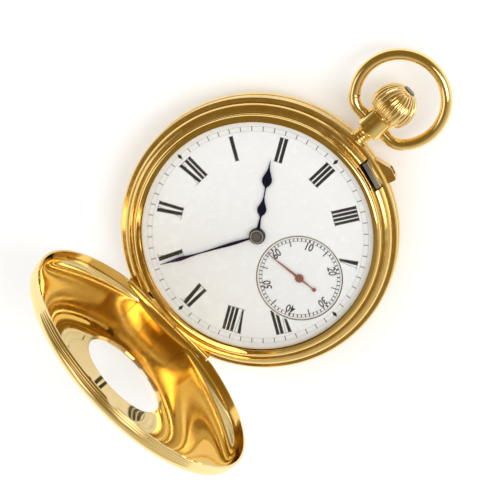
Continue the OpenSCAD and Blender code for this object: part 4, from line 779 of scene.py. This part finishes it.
def add_chapter_numeral(mesh, text, clock):
    """A Roman numeral whose strokes are cut in parts, so that they follow the dome."""
    low, high = WINDOW_R + CHAPTER_IN, WINDOW_R + CHAPTER_OUT
    for a, b, w, v in numeral_strokes(text, CHAPTER_WIDTH, CHAPTER_SPACE):
        for k in range(CHAPTER_PARTS):
            near, far = k / CHAPTER_PARTS, (k + 1) / CHAPTER_PARTS
            r0, r1 = low + (high - low) * near, low + (high - low) * far
            u0, u1 = a + (b - a) * near, a + (b - a) * far
            h0, h1 = (w + (v - w) * near) / 2, (w + (v - w) * far) / 2
            outline = [(u0 - h0, r0), (u1 - h1, r1), (u1 + h1, r1), (u0 + h0, r0)]
            slab(mesh, counter_clockwise(radial((0, 0), clock, outline)), -1, 1)


def lid_ring(frame, materials):
    """Two lines and twelve Roman numerals round the lid's window."""
    node = frame["nodes"]["front_lid"]
    tree = BVHTree.FromObject(node, bpy.context.evaluated_depsgraph_get())
    mesh = bmesh.new()
    half = CHAPTER_LINE / 2
    for reach in CHAPTER_LINES:
        radius = WINDOW_R + reach
        ring(mesh, (0, 0), radius - half, radius + half, -1, 1, SMALL_RING_STEPS)
    names = ["XII", "I", "II", "III", "IIII", "V", "VI", "VII", "VIII", "IX", "X", "XI"]
    for i, text in enumerate(names):
        add_chapter_numeral(mesh, text, i * 30)
    lay_on_lid(mesh, tree)
    finish_piece(mesh, "lid_chapter_ring", materials["lid_ink"], body_of(frame, "front_lid"))


# Camera, floor and light

def camera_axes():
    """The directions to the right, up and back from the camera."""
    azimuth, tilt, roll = (math.radians(v) for v in (CAMERA_AZIMUTH, CAMERA_TILT, CAMERA_ROLL))
    back = Vector((math.sin(tilt) * math.cos(azimuth), math.sin(tilt) * math.sin(azimuth),
                   math.cos(tilt)))
    level_up = (Vector((0, 1, 0)) - back * back.y).normalized()
    level_right = level_up.cross(back)
    right = level_right * math.cos(roll) + level_up * math.sin(roll)
    up = level_up * math.cos(roll) - level_right * math.sin(roll)
    return right, up, back


def make_camera():
    right, up, back = camera_axes()
    data = bpy.data.cameras.new("camera")
    data.lens = CAMERA_FOCAL
    data.sensor_width = CAMERA_SENSOR
    data.clip_start = CAMERA_NEAREST * MM
    camera = bpy.data.objects.new("camera", data)
    bpy.context.scene.collection.objects.link(camera)
    across, along = CAMERA_SHIFT
    place = Vector((0, 0, DIAL_Z)) + back * CAMERA_DISTANCE + right * across + up * along
    turn = Matrix((right, up, back)).transposed().to_4x4()
    camera.matrix_world = Matrix.Translation(place * MM) @ turn
    bpy.context.scene.camera = camera


def seen_directly(tree):
    """1 where the camera, polished metal or glass shows a thing, 0 where it only gives light."""
    path = add(tree, "ShaderNodeLightPath")
    seen = path.outputs["Is Camera Ray"]
    for way in ("Is Glossy Ray", "Is Transmission Ray"):
        either = add(tree, "ShaderNodeMath", operation="MAXIMUM")
        tree.links.new(seen, either.inputs[0])
        tree.links.new(path.outputs[way], either.inputs[1])
        seen = either.outputs[0]
    return seen


def floor_material():
    """Pale paper, a little lifted towards white where it is seen, and clear from below."""
    material, tree, shader = new_material("floor_paper")
    paper = ramp(tree, noise(tree, 4.0), (0.90, 0.90, 0.90), (0.92, 0.92, 0.92))
    tree.links.new(paper, shader.inputs["Base Color"])
    shader.inputs["Roughness"].default_value = 0.9
    shader.inputs["Specular IOR Level"].default_value = 0.0
    lift = add(tree, "ShaderNodeMath", operation="MULTIPLY")
    lift.inputs[1].default_value = FLOOR_LIFT
    tree.links.new(seen_directly(tree), lift.inputs[0])
    shader.inputs["Emission Color"].default_value = (1, 1, 1, 1)
    tree.links.new(lift.outputs[0], shader.inputs["Emission Strength"])
    clear = add(tree, "ShaderNodeBsdfTransparent")
    side = add(tree, "ShaderNodeNewGeometry")
    mix_shaders(tree, side.outputs["Backfacing"], shader, clear)
    return material


def make_floor():
    """A pale floor just under the watch."""
    mesh = bmesh.new()
    bmesh.ops.create_grid(mesh, x_segments=2, y_segments=2, size=FLOOR_SIZE)
    data = bpy.data.meshes.new("floor")
    mesh.to_mesh(data)
    mesh.free()
    data.materials.append(floor_material())
    floor = bpy.data.objects.new("floor", data)
    floor.location.z = -FLOOR_DROP * MM
    bpy.context.scene.collection.objects.link(floor)


def make_world():
    """A pale studio that lights evenly. Polished metal sees it dim overhead and to the upper left."""
    world = bpy.data.worlds.new("studio")
    bpy.context.scene.world = world
    world.use_nodes = True
    tree = world.node_tree
    background = tree.nodes["Background"]
    right, up, back = camera_axes()
    place = add(tree, "ShaderNodeTexCoord")
    toward = add(tree, "ShaderNodeVectorMath", operation="DOT_PRODUCT")
    toward.inputs[1].default_value = (back + (up - right) * WORLD_LEAN).normalized()
    tree.links.new(place.outputs["Generated"], toward.inputs[0])
    dimming = ramp(tree, toward.outputs["Value"], WORLD_LOW, WORLD_HIGH, *WORLD_SPAN)
    path = add(tree, "ShaderNodeLightPath")
    colour = mixed(tree, path.outputs["Is Glossy Ray"], (1, 1, 1), dimming)
    tree.links.new(colour, background.inputs["Color"])
    background.inputs["Strength"].default_value = WORLD_STRENGTH


def make_lamp(name, place, size, power):
    """A soft box that looks at the watch."""
    data = bpy.data.lights.new(name, "AREA")
    data.shape = "RECTANGLE"
    data.size, data.size_y = size
    data.energy = power
    lamp = bpy.data.objects.new(name, data)
    bpy.context.scene.collection.objects.link(lamp)
    spot = Vector(place)
    aim = (Vector(LAMP_AIM) - spot).to_track_quat("-Z", "Y")
    lamp.matrix_world = Matrix.Translation(spot) @ aim.to_matrix().to_4x4()


def make_light():
    for name, (place, size, power) in LAMPS.items():
        make_lamp(name, place, size, power)


def main():
    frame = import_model()
    make_camera()
    materials = make_materials()
    finish_nodes(frame, materials)
    smooth_nodes(frame)
    dial_body = body_of(frame, "dial")
    print_numerals(materials, dial_body)
    print_minute_track(materials, dial_body)
    print_seconds_dial(materials, dial_body)
    edge_seconds_dial(materials, dial_body)
    lid_ring(frame, materials)
    make_floor()
    make_world()
    make_light()
    bpy.context.scene.view_settings.view_transform = "Standard"


main()
